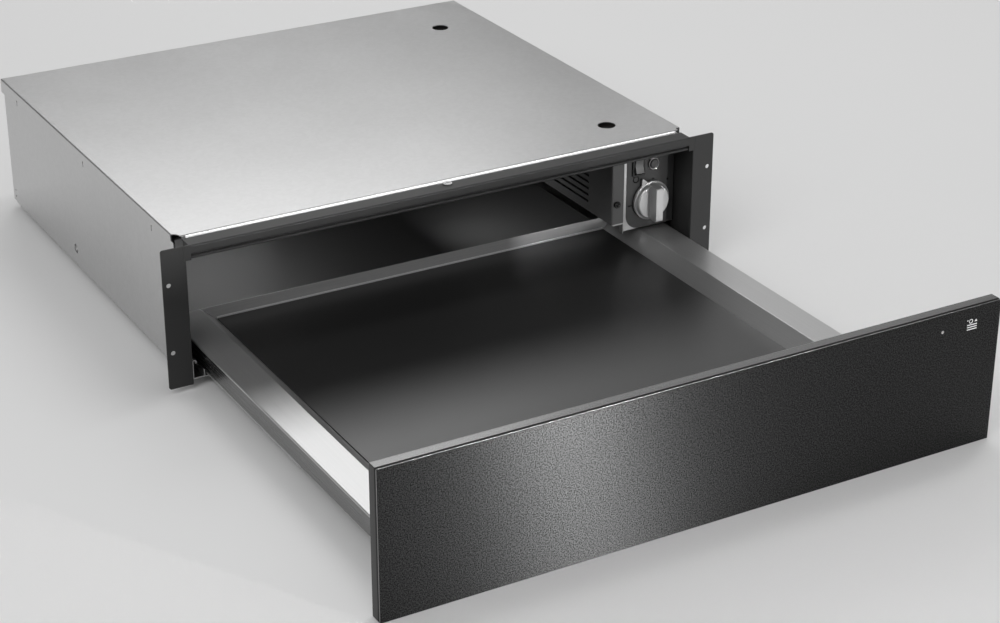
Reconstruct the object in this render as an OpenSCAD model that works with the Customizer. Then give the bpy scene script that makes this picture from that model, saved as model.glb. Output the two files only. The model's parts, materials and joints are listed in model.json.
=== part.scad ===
// Built-in warming drawer, 14 cm high, drawn with its drawer pulled out.
// X runs to the right, Y to the back and Z up. The origin is the centre of the casing's
// underside, at shelf level.

/* [Casing] */
// Outside width over the top cover
case_w = 547; // [520:1:560]
// Depth of the sheet casing without its front collar
case_d = 479; // [440:1:520]
// Thickness of the zinc-coated casing sheets
sheet_t = 0.8; // [0.6:0.1:1]
// Height of the side skirts of the top cover
skirt_h = 14.6; // [13:0.2:18]
// Depth of the step at the top cover's front edge
ledge_drop = 2.2; // [1.8:0.1:2.6]
// Diameter of the two round openings in the top cover
top_hole_d = 18.2; // [12:0.2:24]
// Distance between the two openings, front to back
top_hole_pitch = 353; // [300:1:360]
// Distance of the openings' middle from the front of the casing
top_hole_back = 222.5; // [200:0.5:240]
// Distance of the two openings from the right edge of the top cover
top_hole_edge = 61.5; // [50:0.5:75]
// Thickness of the mineral wool pad under the top cover
wool_t = 7; // [5:0.5:9]
// Distance of the foremost tab of the side panels from the front
tab_front = 53.3; // [45:0.1:60]
// Distance of the middle tab of the side panels from the front
tab_middle = 232.3; // [200:0.1:260]
// Distance of the rearmost tab of the side panels from the back
tab_back = 50.7; // [45:0.1:60]

/* [Front frame] */
// How far the front frame stands ahead of the casing
frame_d = 22.7; // [20:0.1:26]
// How far each fixing flange stands out past the casing
flange_w = 21.5; // [18:0.5:25]
// Thickness of the frame's sheet
frame_t = 1.2; // [1:0.1:1.6]
// How far the flanges reach below the shelf line
flange_drop = 2.4; // [0:0.2:4]
// Diameter of the four fixing holes
fix_hole_d = 4.6; // [4:0.1:5.5]
// Distance of the fixing holes from the flange's outer edge
fix_hole_edge = 6; // [5:0.5:9]
// Height of the lower fixing holes
fix_low_z = 33.4; // [25:0.1:45]
// Distance of the upper fixing holes from the top of the casing
fix_high_gap = 35.6; // [30:0.1:45]
// Height of the top rail's nose
rail_h = 14.2; // [13:0.2:18]

/* [Front panel] */
// How far the front panel reaches past each fixing flange
panel_side = 3.5; // [1:0.5:6]
// Height of the front panel
panel_h = 135; // [130:1:142]
// How far the panel hangs below the shelf line
panel_drop = 8.2; // [4:0.2:10]
// Depth of the panel's painted frame
panel_frame_d = 10.5; // [9:0.5:16]
// Width of the dark joint behind the front sheet
joint_w = 1; // [0.8:0.1:1.4]
// Thickness of the front sheet
front_t = 1.4; // [1:0.1:2]
// Gap between the closed panel and the fixing flanges
closed_gap = 2.5; // [2:0.1:4]
// Height of the lower buffers above the panel's bottom edge
bumper_low = 16; // [12:1:24]
// Distance of the upper buffers from the panel's top edge
bumper_drop = 12; // [10:1:20]

/* [Drawer] */
// Width of the flat side rims
rim_w = 32; // [26:1:36]
// Sideways run of the sloping inner faces of the rims
rim_slope = 15; // [10:1:20]
// Height of the mat's top face above the shelf
mat_z = 19.6; // [17:0.2:21]
// Thickness of the mat
mat_t = 1.6; // [1:0.1:2]
// Thickness of the drawer's sheets
drawer_t = 0.8; // [0.6:0.1:1]
// Height of the drawer's underside above the shelf
drawer_z = 4.6; // [4:0.1:6]
// Free depth behind the closed drawer
drawer_back_gap = 9.2; // [6:0.2:20]
// Height of the lower edges of the drawer's side flanges above the shelf
flange_low = 11.4; // [8:0.2:20]
// Height of the turned-down outer edges of the rims
hem_h = 1.8; // [1.6:0.1:3]

/* [Runners] */
// Thickness of a closed runner
runner_w = 12.7; // [12:0.1:13.5]
// Height of the fixed member
runner_h = 25; // [24:0.5:26]
// Width of the open trough along the outer side of the fixed members
trough_w = 10.8; // [9:0.1:12]
// Height of the trough's outer wall
trough_h = 19.2; // [18.8:0.1:21]
// Diameter of the rivets that hold the fixed members
rivet_d = 3.2; // [3:0.1:3.6]
// Free depth behind the fixed members
runner_back_gap = 46.7; // [40:0.1:80]
// How much shorter the moving members are than the fixed ones
runner_step = 30; // [26:1:50]
// How much shorter the drawer's travel is than its runner members
travel_reserve = 7; // [7:1:40]
// Diameter of the steel balls
ball_d = 3; // [2.6:0.1:3.2]
// Number of balls in each row
ball_count = 6; // [4:1:10]
// Length of the ball cages
cage_len = 150; // [100:5:160]
// Diameter of the push-to-open plungers
plunger_d = 4; // [3.4:0.1:4.4]

/* [Controls] */
// Width of the control compartment
comp_w = 81; // [76:1:90]
// Free height of the control compartment
comp_h = 79.4; // [74:0.2:90]
// Free height between the drawer's rims and the control compartment
comp_gap = 16; // [12:0.5:20]
// Number of louvres in the partition
louvre_count = 5; // [3:1:6]
// Pitch of the louvres
louvre_pitch = 7; // [6:0.5:8]
// Height of the louvres' slots
louvre_slot = 3; // [2:0.2:3.4]
// Length of the louvres
louvre_len = 110; // [60:5:120]
// Diameter of the thermostat knob's disc
knob_d = 36.6; // [32:0.2:38]
// Width of the knob's grip bar
grip_w = 8.4; // [7:0.2:10]
// How far the grip bar stands out of the disc
grip_out = 10.5; // [8:0.5:12]
// Tilt of the rocker to either side of the middle
rocker_tilt = 8; // [6:1:10]
// Diameter of the indicator lamp
lamp_d = 13.6; // [12:0.2:15]

/* [Heating] */
// Free height above and below the fan's scroll
scroll_gap = 4.2; // [3:0.2:8]
// Width of the fan wheel
fan_w = 20; // [16:1:22]
// Number of blades on the fan wheel
blade_count = 20; // [12:1:24]
// Diameter of the fan motor
motor_d = 46; // [36:1:50]
// Length of the fan motor
motor_w = 30; // [24:1:34]
// Diameter of the tubular heating element
element_d = 6.4; // [6:0.2:8]
// Diameter of the cable entry in the back panel
gland_d = 16; // [14:0.5:20]

/* [Hidden] */

round_fn = 48;
touch = 0.02;
slip = 0.3;
bend_steps = 5;
steel_bend = 1.2;
bend_gap = 1;

frame_w = case_w + 2 * flange_w;
panel_w = frame_w + 2 * panel_side;
case_front = -case_d / 2;
case_back = case_d / 2;
plane = case_front - frame_d;
half_w = case_w / 2;
side_out = half_w - sheet_t - touch;
side_in = side_out - sheet_t;
back_inset = 1.2;
comp_back = case_back - sheet_t - back_inset;

floor_top = 2.6;
runner_floor_gap = 0.25;
runner_low = sheet_t + runner_floor_gap;
runner_z = runner_low + runner_h / 2;
rim_gap = 5.15;
rim_low = runner_z + runner_h / 2 + rim_gap;
rim_z = rim_low + drawer_t;
partition_z = rim_z + comp_gap;
ceiling_low = partition_z + comp_h;
wool_low = ceiling_low + sheet_t;
roof_in = wool_low + wool_t;
case_h = roof_in + sheet_t;
flange_top = case_h - 0.5;
fix_high_z = case_h - fix_high_gap;

base_lip = 4;
ceiling_lip = 10;
crease = case_back - 14.2;
crease_in = 1;
rail_top = case_h - ledge_drop + frame_t + touch;
rail_half = side_out + 0.1;
rail_tab = 5.5;
rail_low = rail_top - rail_h;
ledge_len = 14;
ledge_half = half_w - 8;
top_hole_y = case_front + top_hole_back;
tab_len = 5.6;
tab_z = case_h - 11;
tab_places = [case_front + tab_front, case_front + tab_middle, case_back - tab_back];
case_screw_d = 3.5;
screw_bore = case_screw_d + slip;
rail_screw_y = case_front - 10;
back_screw_places = [for (x = [-1, 1], z = [30, case_h - 32]) [x * (side_in - 7), z]];

partition_x = side_in - comp_w;
partition_top = ceiling_low - touch;
partition_t = 1;
strip_w = 14;
strip_y = case_front + 0.1;
strip_screw = [partition_x + 6, partition_z + 21.5];
foot_y = strip_y + partition_t + touch;
foot_w = 15;
louvre_y = strip_y + 43;
louvre_low = partition_z + 9;
plate_y = case_front + 7.3;
plate_t = 1;
plate_low = rim_z + 3;
plate_right = side_in - 4.88;
plate_screws = [-14, 14];
plate_screw_d = 3.2;
shelf_front = plate_y + 13;

foot_out = side_in - frame_t - 3 * touch;
runner_out = foot_out - trough_w;
runner_in = runner_out - runner_w;
fixed_front = plane + 3;
fixed_len = comp_back - fixed_front - runner_back_gap;
moving_len = fixed_len - runner_step;
travel = moving_len - travel_reserve;
boss_y = fixed_front + fixed_len - 153;
boss_d = 12;
boss_z = runner_low + trough_h - 2.65;
boss_floor = 0.7;
rivet_bore = rivet_d + 0.08;

drawer_front = plane - closed_gap - travel;
drawer_d = comp_back - drawer_back_gap - plane + closed_gap;
drawer_back = drawer_front + drawer_d;
chassis_half = runner_in - 0.05;
flange_in = runner_out + 0.6;
hem_gap = 0.4;
rim_x = flange_in + drawer_t + hem_gap + drawer_t;
rim_in = rim_x - rim_w;
tray_half = rim_in - rim_slope;
mat_low = mat_z - mat_t;
tray_z = mat_low - drawer_t;
rim_foot = 6;
floor_edge = tray_half - rim_foot - 0.1;
floor_half = chassis_half - 9;

panel_low = -panel_drop;
panel_top = panel_h - panel_drop;
frame_face = drawer_front - panel_frame_d;
sheet_back = frame_face - joint_w;
panel_face = sheet_back - front_t;
front_wall_top = panel_top - 28.8;
panel_screw_places = [for (x = [-1, 1], z = [rim_z + 8, front_wall_top - 14])
                      [x * (chassis_half - 11), z]];
panel_screw_d = 3;
lens_d = 2.3;
lens_x = panel_w / 2 - 62.5;
lens_z = panel_top - 16.8;
bumper_d = 9;
bumper_x = panel_w / 2 - 17.5;

knob_x = side_in - 30.88;
knob_z = partition_z + 15.8;
rocker_x = knob_x - 15;
rocker_z = knob_z + knob_d / 2 + 20.3;
lamp_x = knob_x + 3;
rocker_w = 14.4;
rocker_h = 21;
rocker_rim = 2.2;
rocker_pivot_y = plate_y + 4;
rocker_pivot_d = 2;
rocker_face = 7.4;
shaft_d = 6;
shaft_flat = 1.5;
neck_d = 7.6;
disc_face = plate_y - 8;
skirt_t = 3;
nib_turn = 24;
nib_len = 8.5;

scroll_x = partition_x + partition_t + touch;
scroll_t = 1;
scroll_room = 5;
scroll_r = comp_h / 2 - scroll_gap - partition_t / 2;
fan_d = 2 * (scroll_r - scroll_room);
fan_x = scroll_x + 6;
fan_y = comp_back - 104.7;
fan_z = partition_z + partition_t + scroll_gap + scroll_r;
scroll_end = fan_x + fan_w + 4;
fan_eye = fan_d * 0.62;
fan_hub_d = 14;
fan_shaft_d = 4;
motor_gap = 2;
motor_foot = 20;
element_low = partition_z + partition_t + 11;
element_pitch = 20;
element_high = element_low + element_pitch;
duct_low = partition_z + partition_t + bend_gap;
duct_top = element_high + 13;
duct_front = louvre_y + louvre_len + 9;
element_front = duct_front + 20;
element_back = fan_y - scroll_r - 27;
element_x = fan_x + fan_w / 2;
element_end = scroll_end + 4;
fin_pitch = 9;
fin_over = 4.5;
shaft_in = 7;
gland_x = partition_x + 41;
gland_z = fan_z;
cable_d = 8;

steel_t = 1.2;
race_r = ball_d / 2 + 0.06;
race_depth = 0.35;
race_step = race_r - race_depth;
rear_row = runner_h / 2 - steel_t - race_step;
middle_half = rear_row - race_step;
front_row = middle_half - steel_t - race_step;
member_half = front_row - race_step;
fixed_edge = runner_in + 3;
middle_back = runner_out - steel_t - 0.9;
middle_edge = runner_in + 1.8;
member_edge = runner_in + 8;
rear_race_x = (runner_out + fixed_edge) / 2;
front_race_x = (middle_back + middle_edge) / 2;
web_gap = 0.15;
cage_t = 0.6;
cage_end = 7;
middle_front = plane + 6 - travel / 2;
member_closed = plane + 1;
member_front = member_closed - travel;
rear_cage_front = middle_front + moving_len - cage_len - 24.5;
front_cage_front = middle_front + 20.5;
latch_len = 21;
latch_front = fixed_front + fixed_len - latch_len - 1;
plunger_x = runner_in + 6;
plunger_tip = member_closed + moving_len + 0.5;

zinc = [0.72, 0.73, 0.74];
dark_paint = [0.17, 0.17, 0.18];
steel = [0.78, 0.78, 0.79];
dark_steel = [0.3, 0.3, 0.31];
black = [0.08, 0.08, 0.08];
light_grey = [0.8, 0.8, 0.8];

// A block given by its two corners on each axis
module block(x, y, z) {
    translate([x[0], y[0], z[0]]) cube([x[1] - x[0], y[1] - y[0], z[1] - z[0]]);
}

// A flat shape drawn in X and Z, run along Y from one place to another
module run_y(from, to) {
    translate([0, to, 0]) rotate([90, 0, 0]) linear_extrude(to - from) children();
}

// A flat shape drawn in Y and Z, run along X from one place to another
module run_x(from, to) {
    translate([from, 0, 0]) rotate([90, 0, 90]) linear_extrude(to - from) children();
}

// A round bar or hole along X, Y or Z from a start point
module bar_x(d, at, len) {
    translate(at) rotate([0, 90, 0]) cylinder(d = d, h = len, $fn = round_fn);
}
module bar_y(d, at, len) {
    translate(at) rotate([-90, 0, 0]) cylinder(d = d, h = len, $fn = round_fn);
}
module bar_z(d, at, len) {
    translate(at) cylinder(d = d, h = len, $fn = round_fn);
}

// Draws its children as they are for the right side, or mirrored for the left
module on_side(side) {
    if (side < 0) mirror([1, 0, 0]) children();
    else children();
}

// Bent sheet: the outline of a sheet of thickness t that follows a bent centre line
function heading(p, i) = (p[i + 1] - p[i]) / norm(p[i + 1] - p[i]);
function left_of(v) = [-v[1], v[0]];
function turn_at(p, i) =
    let (a = heading(p, i - 1), b = heading(p, i))
    atan2(a[0] * b[1] - a[1] * b[0], a * b);
function bend_points(p, i, r, off) =
    let (a = heading(p, i - 1), turn = turn_at(p, i), s = sign(turn),
         centre = p[i] - a * r * tan(abs(turn) / 2) + left_of(a) * r * s,
         start = -left_of(a) * s)
    [for (k = [0:bend_steps]) let (q = turn * k / bend_steps)
        centre + (r - s * off) * [start[0] * cos(q) - start[1] * sin(q),
                                  start[0] * sin(q) + start[1] * cos(q)]];
function sheet_side(p, r, off) =
    let (last = len(p) - 1)
    concat([p[0] + left_of(heading(p, 0)) * off],
           [for (i = [1:last - 1]) each bend_points(p, i, r, off)],
           [p[last] + left_of(heading(p, last - 1)) * off]);
function reversed(list) = [for (i = [len(list) - 1:-1:0]) list[i]];
module bent_sheet(path, t, r = steel_bend) {
    polygon(concat(sheet_side(path, r, t / 2), reversed(sheet_side(path, r, -t / 2))));
}

// A rectangle with round corners, drawn flat
module soft_rectangle(x, y, r) {
    difference() {
        translate([x[0], y[0]]) square([x[1] - x[0], y[1] - y[0]]);
        for (i = [0, 1], j = [0, 1])
            translate([x[i], y[j]]) difference() {
                translate([i ? -r : -1, j ? -r : -1]) square(r + 1);
                translate([i ? -r : r, j ? -r : r]) circle(r = r, $fn = round_fn);
            }
    }
}

// Screw with a flat slotted or crossed head, its head facing along -Y, +Y or +Z
module screw(head_d, head_h, shank_d, len, crossed = false) {
    slot_w = head_d * 0.14;
    difference() {
        union() {
            cylinder(d = head_d, h = head_h, $fn = round_fn);
            translate([0, 0, -len]) cylinder(d = shank_d, h = len, $fn = round_fn);
        }
        for (turn = crossed ? [0, 90] : [0])
            rotate(turn) translate([-head_d * 0.32, -slot_w / 2, head_h * 0.45])
                cube([head_d * 0.64, slot_w, head_h]);
    }
}

// Casing

// The two round openings, cut down from above the top cover
module top_openings(d) {
    for (y = [-1, 1])
        bar_z(d, [half_w - top_hole_edge, top_hole_y + y * top_hole_pitch / 2,
                  wool_low - 1], wool_t + sheet_t + 3);
}

module top_cover() {
    mid = sheet_t / 2;
    color(zinc) difference() {
        union() {
            run_y(case_front, case_back)
                bent_sheet([[-half_w + mid, case_h - skirt_h], [-half_w + mid, case_h - mid],
                            [half_w - mid, case_h - mid], [half_w - mid, case_h - skirt_h]],
                           sheet_t);
            run_x(-ledge_half, ledge_half)
                bent_sheet([[case_front + 8, case_h - mid], [case_front + mid, case_h - mid],
                            [case_front + mid, case_h - ledge_drop - mid],
                            [case_front - ledge_len, case_h - ledge_drop - mid]],
                           sheet_t, 0.7);
            run_x(-half_w + 3, half_w - 3)
                bent_sheet([[case_back - 8, case_h - mid], [case_back - mid, case_h - mid],
                            [case_back - mid, case_h - skirt_h]], sheet_t);
        }
        top_openings(top_hole_d);
        bar_z(screw_bore, [0, rail_screw_y, case_h - ledge_drop - 3], 6);
        for (side = [-1, 1]) {
            on_side(side) bar_z(11, [half_w - 1, case_front + 1, case_h - 6], 12);
            for (y = tab_places)
                block([side * half_w - 3, side * half_w + 3], [y - 0.9, y + 0.9],
                      [tab_z - tab_len / 2, tab_z + tab_len / 2]);
        }
    }
}

module side_panel(side) {
    mid = sheet_t / 2;
    rear = side_out - mid - crease_in;
    color(zinc) on_side(side) difference() {
        union() {
            linear_extrude(roof_in - bend_gap)
                bent_sheet([[side_out - mid, case_front + 0.5], [side_out - mid, crease - 1],
                            [rear, crease + 1], [rear, comp_back - mid],
                            [side_out - 15, comp_back - mid]], sheet_t, 0.9);
            bar_x(boss_d, [foot_out + touch, boss_y, boss_z], side_in + 0.3 - foot_out);
            for (y = tab_places)
                block([side_out - 0.3, half_w - 0.15], [y - 0.4, y + 0.4],
                      [tab_z - tab_len / 2 + 0.4, tab_z + tab_len / 2 - 1.4]);
        }
        bar_x(boss_d - 2.4, [foot_out + touch + boss_floor, boss_y, boss_z], 5);
        bar_x(rivet_bore, [foot_out - 1, boss_y, boss_z], 3);
        for (z = [5.6, 12.8]) bar_x(2.4, [side_out - 4, crease + 3, z], 8);
        block([side_in - 20, side_in + 3], [case_front - 1, case_front + 7],
              [roof_in - 7, roof_in + 1]);
        for (p = back_screw_places) if (p[0] > 0)
            bar_y(case_screw_d + 0.2, [p[0], comp_back - 3, p[1]], 6);
    }
}

module base_plate() {
    mid = sheet_t / 2;
    edge = side_in - touch - mid;
    color(zinc) difference() {
        union() {
            run_y(case_front + 1, crease - 1 - slip)
                bent_sheet([[-edge, base_lip], [-edge, mid], [edge, mid], [edge, base_lip]],
                           sheet_t);
            block([-edge + 2 * crease_in, edge - 2 * crease_in],
                  [crease - 2, comp_back - sheet_t - touch], [0, sheet_t]);
        }
        for (i = [0:11])
            block([partition_x + 6, side_in - 24], [case_back - 150 + 10 * i,
                  case_back - 146 + 10 * i], [-1, 3]);
    }
}

module back_panel() {
    color(zinc) difference() {
        run_y(comp_back + touch, comp_back + touch + sheet_t)
            soft_rectangle([-side_in + 1, side_in - 1], [touch, roof_in - bend_gap], 2);
        bar_y(gland_d, [gland_x, comp_back - 2, gland_z], 5);
        for (p = back_screw_places)
            bar_y(case_screw_d + 0.2, [p[0], comp_back - 3, p[1]], 6);
        for (i = [0:9], j = [0:2])
            block([-150 + 14 * i, -142 + 14 * i], [comp_back - 2, comp_back + 3],
                  [case_h - 52 + 10 * j, case_h - 48 + 10 * j]);
    }
}

module casing_screws() {
    color(steel) for (p = back_screw_places)
        translate([p[0], comp_back + touch + sheet_t + touch, p[1]])
            rotate([-90, 0, 0]) screw(7, 1.8, case_screw_d, 5, true);
}

// The dark sheet that shows behind the open drawer, with folded edges
module cavity_floor() {
    mid = sheet_t / 2;
    fold = [[-floor_half + mid, sheet_t + touch], [-floor_half + mid, floor_top - mid],
            [floor_half - mid, floor_top - mid], [floor_half - mid, sheet_t + touch]];
    color(dark_steel) run_y(case_front + 4, comp_back - 4) bent_sheet(fold, sheet_t, 0.7);
}

module cavity_ceiling() {
    mid = sheet_t / 2;
    edge = side_in - 4;
    color(dark_steel) run_y(case_front + 12, comp_back - 6)
        bent_sheet([[-edge, ceiling_low - ceiling_lip], [-edge, ceiling_low + mid],
                    [edge, ceiling_low + mid], [edge, ceiling_low - ceiling_lip]], sheet_t);
}

module wool_pad() {
    color([0.85, 0.8, 0.65]) difference() {
        block([-side_in + 8, side_in - 8], [case_front + 14, comp_back - 8],
              [wool_low + touch, roof_in - touch]);
        top_openings(top_hole_d + 12);
    }
}

// Front frame

module rail_profile() {
    mid = frame_t / 2;
    top = rail_top - mid;
    bent_sheet([[case_front - 5.5, top], [plane + mid, top], [plane + mid, rail_low + 6.2],
                [plane + 5.6, rail_low + 3.8], [plane + 1.2, rail_low + 1.8],
                [plane + 3.2, rail_low + mid], [case_front - 7.7, rail_low + mid]],
               frame_t, 1);
}

module top_rail() {
    end = rail_half - rail_tab;
    color(dark_paint) difference() {
        union() {
            run_x(-end, end) rail_profile();
            for (side = [-1, 1]) on_side(side) {
                block([end - frame_t, rail_half], [plane, plane + frame_t], [rail_low, flange_top]);
                block([end - frame_t, end], [plane, case_front - 7.7], [rail_low, rail_top - 0.2]);
            }
        }
        bar_z(screw_bore, [0, rail_screw_y, rail_top - 4], 6);
    }
}

module rail_screw() {
    color(steel) translate([0, rail_screw_y, rail_top + touch])
        screw(9, 1.5, case_screw_d, 7);
}

module frame_upright(side) {
    mid = frame_t / 2;
    return_x = side_in - touch - mid;
    outer = frame_w / 2;
    color(dark_paint) on_side(side) difference() {
        union() {
            run_y(plane, plane + frame_t)
                soft_rectangle([return_x, outer], [-flange_drop, flange_top], 2.5);
            translate([0, 0, -flange_drop]) linear_extrude(flange_top + flange_drop - 3)
                bent_sheet([[return_x + 8, plane + mid], [return_x, plane + mid],
                            [return_x, case_front + 14]], frame_t);
        }
        for (z = [fix_low_z, fix_high_z])
            bar_y(fix_hole_d, [outer - fix_hole_edge, plane - 2, z], 6);
        block([return_x - 3, return_x + 3], [case_front + 0.8, case_front + 16],
              [-flange_drop - 1, base_lip + slip]);
        block([return_x - 3, rail_half + touch], [plane - 1, case_front + 16],
              [rail_low - touch, flange_top + 1]);
    }
}

// Controls

// A quarter-round hood on the partition's right side, closed at both ends
module louvre(y, z) {
    hood_r = louvre_slot + 1;
    run_y(y, y + louvre_len) difference() {
        intersection() {
            translate([partition_x, z]) circle(r = hood_r, $fn = round_fn);
            translate([partition_x, z]) square(2 * hood_r);
        }
        translate([partition_x, z]) circle(r = hood_r - 0.8, $fn = round_fn);
    }
    for (end = [y, y + louvre_len - 0.8])
        run_y(end, end + 0.8) intersection() {
            translate([partition_x, z]) circle(r = hood_r - 0.4, $fn = round_fn);
            translate([partition_x, z]) square(2 * hood_r);
        }
}

module partition() {
    mid = partition_t / 2;
    eye_r = fan_eye / 2;
    color(dark_steel) {
        difference() {
            union() {
                translate([0, 0, partition_z]) linear_extrude(partition_top - partition_z)
                    bent_sheet([[partition_x + strip_w, strip_y + mid],
                                [partition_x + mid, strip_y + mid],
                                [partition_x + mid, comp_back - 1]], partition_t);
                run_y(shelf_front, comp_back - 1)
                    bent_sheet([[partition_x + mid, partition_z + 12],
                                [partition_x + mid, partition_z + mid],
                                [side_in - crease_in - 2 * touch, partition_z + mid]],
                               partition_t);
            }
            for (i = [0:louvre_count - 1])
                block([partition_x - 1, partition_x + partition_t + 1],
                      [louvre_y + 0.4, louvre_y + louvre_len - 0.4],
                      [louvre_low + i * louvre_pitch,
                       louvre_low + i * louvre_pitch + louvre_slot]);
            bar_x(fan_eye, [partition_x - 2, fan_y, fan_z], 5);
            bar_y(screw_bore, [strip_screw[0], strip_y - 2, strip_screw[1]], 6);
        }
        for (i = [0:louvre_count - 1]) louvre(louvre_y, louvre_low + i * louvre_pitch);
        for (i = [-2:2], turn = [0, 90])
            let (half = sqrt(pow(eye_r + 0.5, 2) - pow(i * eye_r / 3, 2)))
            translate([partition_x + mid, fan_y, fan_z]) rotate([turn, 0, 0])
                block([-0.4, 0.4], [-half, half], [i * eye_r / 3 - 0.5, i * eye_r / 3 + 0.5]);
    }
}

module partition_screw() {
    color(steel) translate([strip_screw[0], strip_y - touch, strip_screw[1]])
        rotate([90, 0, 0]) screw(7, 2.2, case_screw_d, 7, true);
}

module control_plate() {
    mid = plate_t / 2;
    foot = foot_y + mid;
    face = plate_y + mid;
    turn_x = partition_x + foot_w;
    color(dark_steel) difference() {
        translate([0, 0, plate_low]) linear_extrude(partition_top - plate_low - 2)
            bent_sheet([[partition_x + 2.5, foot], [turn_x, foot],
                        [turn_x, face], [plate_right, face],
                        [plate_right, shelf_front - 3], [side_in - 2, shelf_front - 3]],
                       plate_t, 0.9);
        block([partition_x, turn_x - 0.8], [foot_y - 1, plate_y - 1],
              [plate_low - 1, partition_z - 2]);
        block([plate_right - 1.5, side_in], [plate_y + 3, shelf_front],
              [ceiling_low - ceiling_lip - 1, ceiling_low]);
        bar_y(screw_bore, [strip_screw[0], strip_y, strip_screw[1]], 6);
        bar_y(neck_d + 2 * slip, [knob_x, plate_y - 2, knob_z], 6);
        bar_y(lamp_d - 2, [lamp_x, plate_y - 2, rocker_z], 6);
        block([rocker_x - rocker_w / 2 + 0.8, rocker_x + rocker_w / 2 - 0.8],
              [plate_y - 2, plate_y + 4],
              [rocker_z - rocker_h / 2 + 0.8, rocker_z + rocker_h / 2 - 0.8]);
        for (x = plate_screws)
            bar_y(plate_screw_d, [knob_x + x, plate_y - 2, knob_z], 6);
    }
}

module rocker_housing() {
    wall = 1.4;
    inner_w = rocker_w / 2 - rocker_rim;
    inner_h = rocker_h / 2 - rocker_rim;
    color(black) difference() {
        union() {
            run_y(plate_y - 1.8, plate_y - touch)
                soft_rectangle([rocker_x - rocker_w / 2, rocker_x + rocker_w / 2],
                               [rocker_z - rocker_h / 2, rocker_z + rocker_h / 2], 1);
            block([rocker_x - rocker_w / 2 + 1, rocker_x + rocker_w / 2 - 1],
                  [plate_y - 1, plate_y + 20],
                  [rocker_z - rocker_h / 2 + 1, rocker_z + rocker_h / 2 - 1]);
            for (x = [-4, 0, 4])
                block([rocker_x + x - 0.4, rocker_x + x + 0.4], [plate_y + 19, plate_y + 27],
                      [rocker_z - 3, rocker_z + 3]);
        }
        block([rocker_x - inner_w, rocker_x + inner_w], [plate_y - 3, plate_y + 14],
              [rocker_z - inner_h, rocker_z + inner_h]);
        bar_x(rocker_pivot_d + 0.1, [rocker_x - inner_w - wall, rocker_pivot_y, rocker_z],
              2 * inner_w + 2 * wall);
    }
}

// The key is tipped towards its lower end, as switched off
module rocker() {
    half = rocker_w / 2 - rocker_rim - slip;
    tall = rocker_h / 2 - rocker_rim - 3 * slip;
    color(dark_steel) translate([rocker_x, rocker_pivot_y, rocker_z]) rotate([-rocker_tilt, 0, 0]) {
        run_x(-half, half)
            polygon([[4, -3], [4, 3], [-3.4, tall], [-rocker_face - 0.8, tall],
                     [-rocker_face + 1, 0], [-rocker_face - 0.8, -tall], [-3.4, -tall]]);
        bar_x(rocker_pivot_d, [-half - 1.2, 0, 0], 2 * half + 2.4);
    }
}

module lamp_body() {
    color(black) difference() {
        union() {
            bar_y(lamp_d, [lamp_x, plate_y - 1.5, rocker_z], 1.5 - touch);
            bar_y(lamp_d - 2.3, [lamp_x, plate_y - 1, rocker_z], 19);
        }
        bar_y(lamp_d - 4, [lamp_x, plate_y - 4, rocker_z], 16);
    }
}

// Clear cap with a rounded rim, hollow from behind for its bulb
module lamp_lens() {
    r = lamp_d / 2 - 2.05;
    len = 11;
    soft = 0.9;
    color([0.75, 0.72, 0.68]) translate([lamp_x, plate_y + 8, rocker_z]) rotate([90, 0, 0])
        rotate_extrude($fn = round_fn)
            polygon(concat([[2.6, 0], [r, 0]],
                           [for (q = [0:15:90]) [r - soft + soft * cos(q), len - soft + soft * sin(q)]],
                           [[0, len], [0, 4], [2.6, 4]]));
}

module thermostat() {
    color([0.85, 0.85, 0.82]) difference() {
        union() {
            bar_y(34, [knob_x, plate_y + plate_t + touch, knob_z], 3);
            block([knob_x - 17, knob_x + 17], [plate_y + plate_t + 4 + touch, plate_y + 11.5],
                  [knob_z - 13, knob_z + 17]);
            bar_y(30, [knob_x, plate_y + plate_t + 2, knob_z], 8);
            bar_y(neck_d, [knob_x, plate_y - 0.8, knob_z], 5);
        }
        bar_y(shaft_d + 0.1, [knob_x, plate_y - 4, knob_z], 12);
        for (x = plate_screws)
            bar_y(plate_screw_d, [knob_x + x, plate_y, knob_z], 6);
    }
}

module thermostat_shaft() {
    color(steel) difference() {
        bar_y(shaft_d, [knob_x, disc_face + 2, knob_z], plate_y + 7 - disc_face - 2);
        block([knob_x + shaft_d / 2 - shaft_flat, knob_x + shaft_d], [disc_face, plate_y - 3],
              [knob_z - shaft_d, knob_z + shaft_d]);
    }
}

// Knob with a drafted disc, a grip bar across it and a pointer nib on its skirt
module knob() {
    r = knob_d / 2;
    depth = plate_y - 1.2 - disc_face;
    hub_r = shaft_d / 2 + 4;
    flat = shaft_d / 2 - shaft_flat + 0.05;
    color(light_grey) translate([knob_x, disc_face, knob_z]) difference() {
        union() {
            rotate([-90, 0, 0]) rotate_extrude($fn = round_fn)
                polygon([[0, 0], [r - 1, 0], [r, 1], [r + 0.8, depth - skirt_t],
                         [r + 2.4, depth - skirt_t + 0.6], [r + 2.4, depth], [r - 2, depth],
                         [r - 2, 3], [hub_r, 3], [hub_r, depth], [0, depth]]);
            run_x(-grip_w / 2, grip_w / 2)
                polygon([[2, -r], [-grip_out + 1, -r], [-grip_out, -r + 1],
                         [-grip_out, r - 2], [-grip_out + 1, r - 1], [2, r]]);
            rotate([0, -nib_turn, 0]) run_y(depth - skirt_t + 1, depth - 0.4)
                polygon([[-5.5, r - 1], [5.5, r - 1], [0.7, r + nib_len], [-0.7, r + nib_len]]);
        }
        difference() {
            bar_y(shaft_d + 0.1, [0, 2, 0], depth);
            block([flat, shaft_d], [1, depth - 2.2], [-shaft_d, shaft_d]);
        }
    }
}

// Heating, in the compartment behind the control plate

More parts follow.
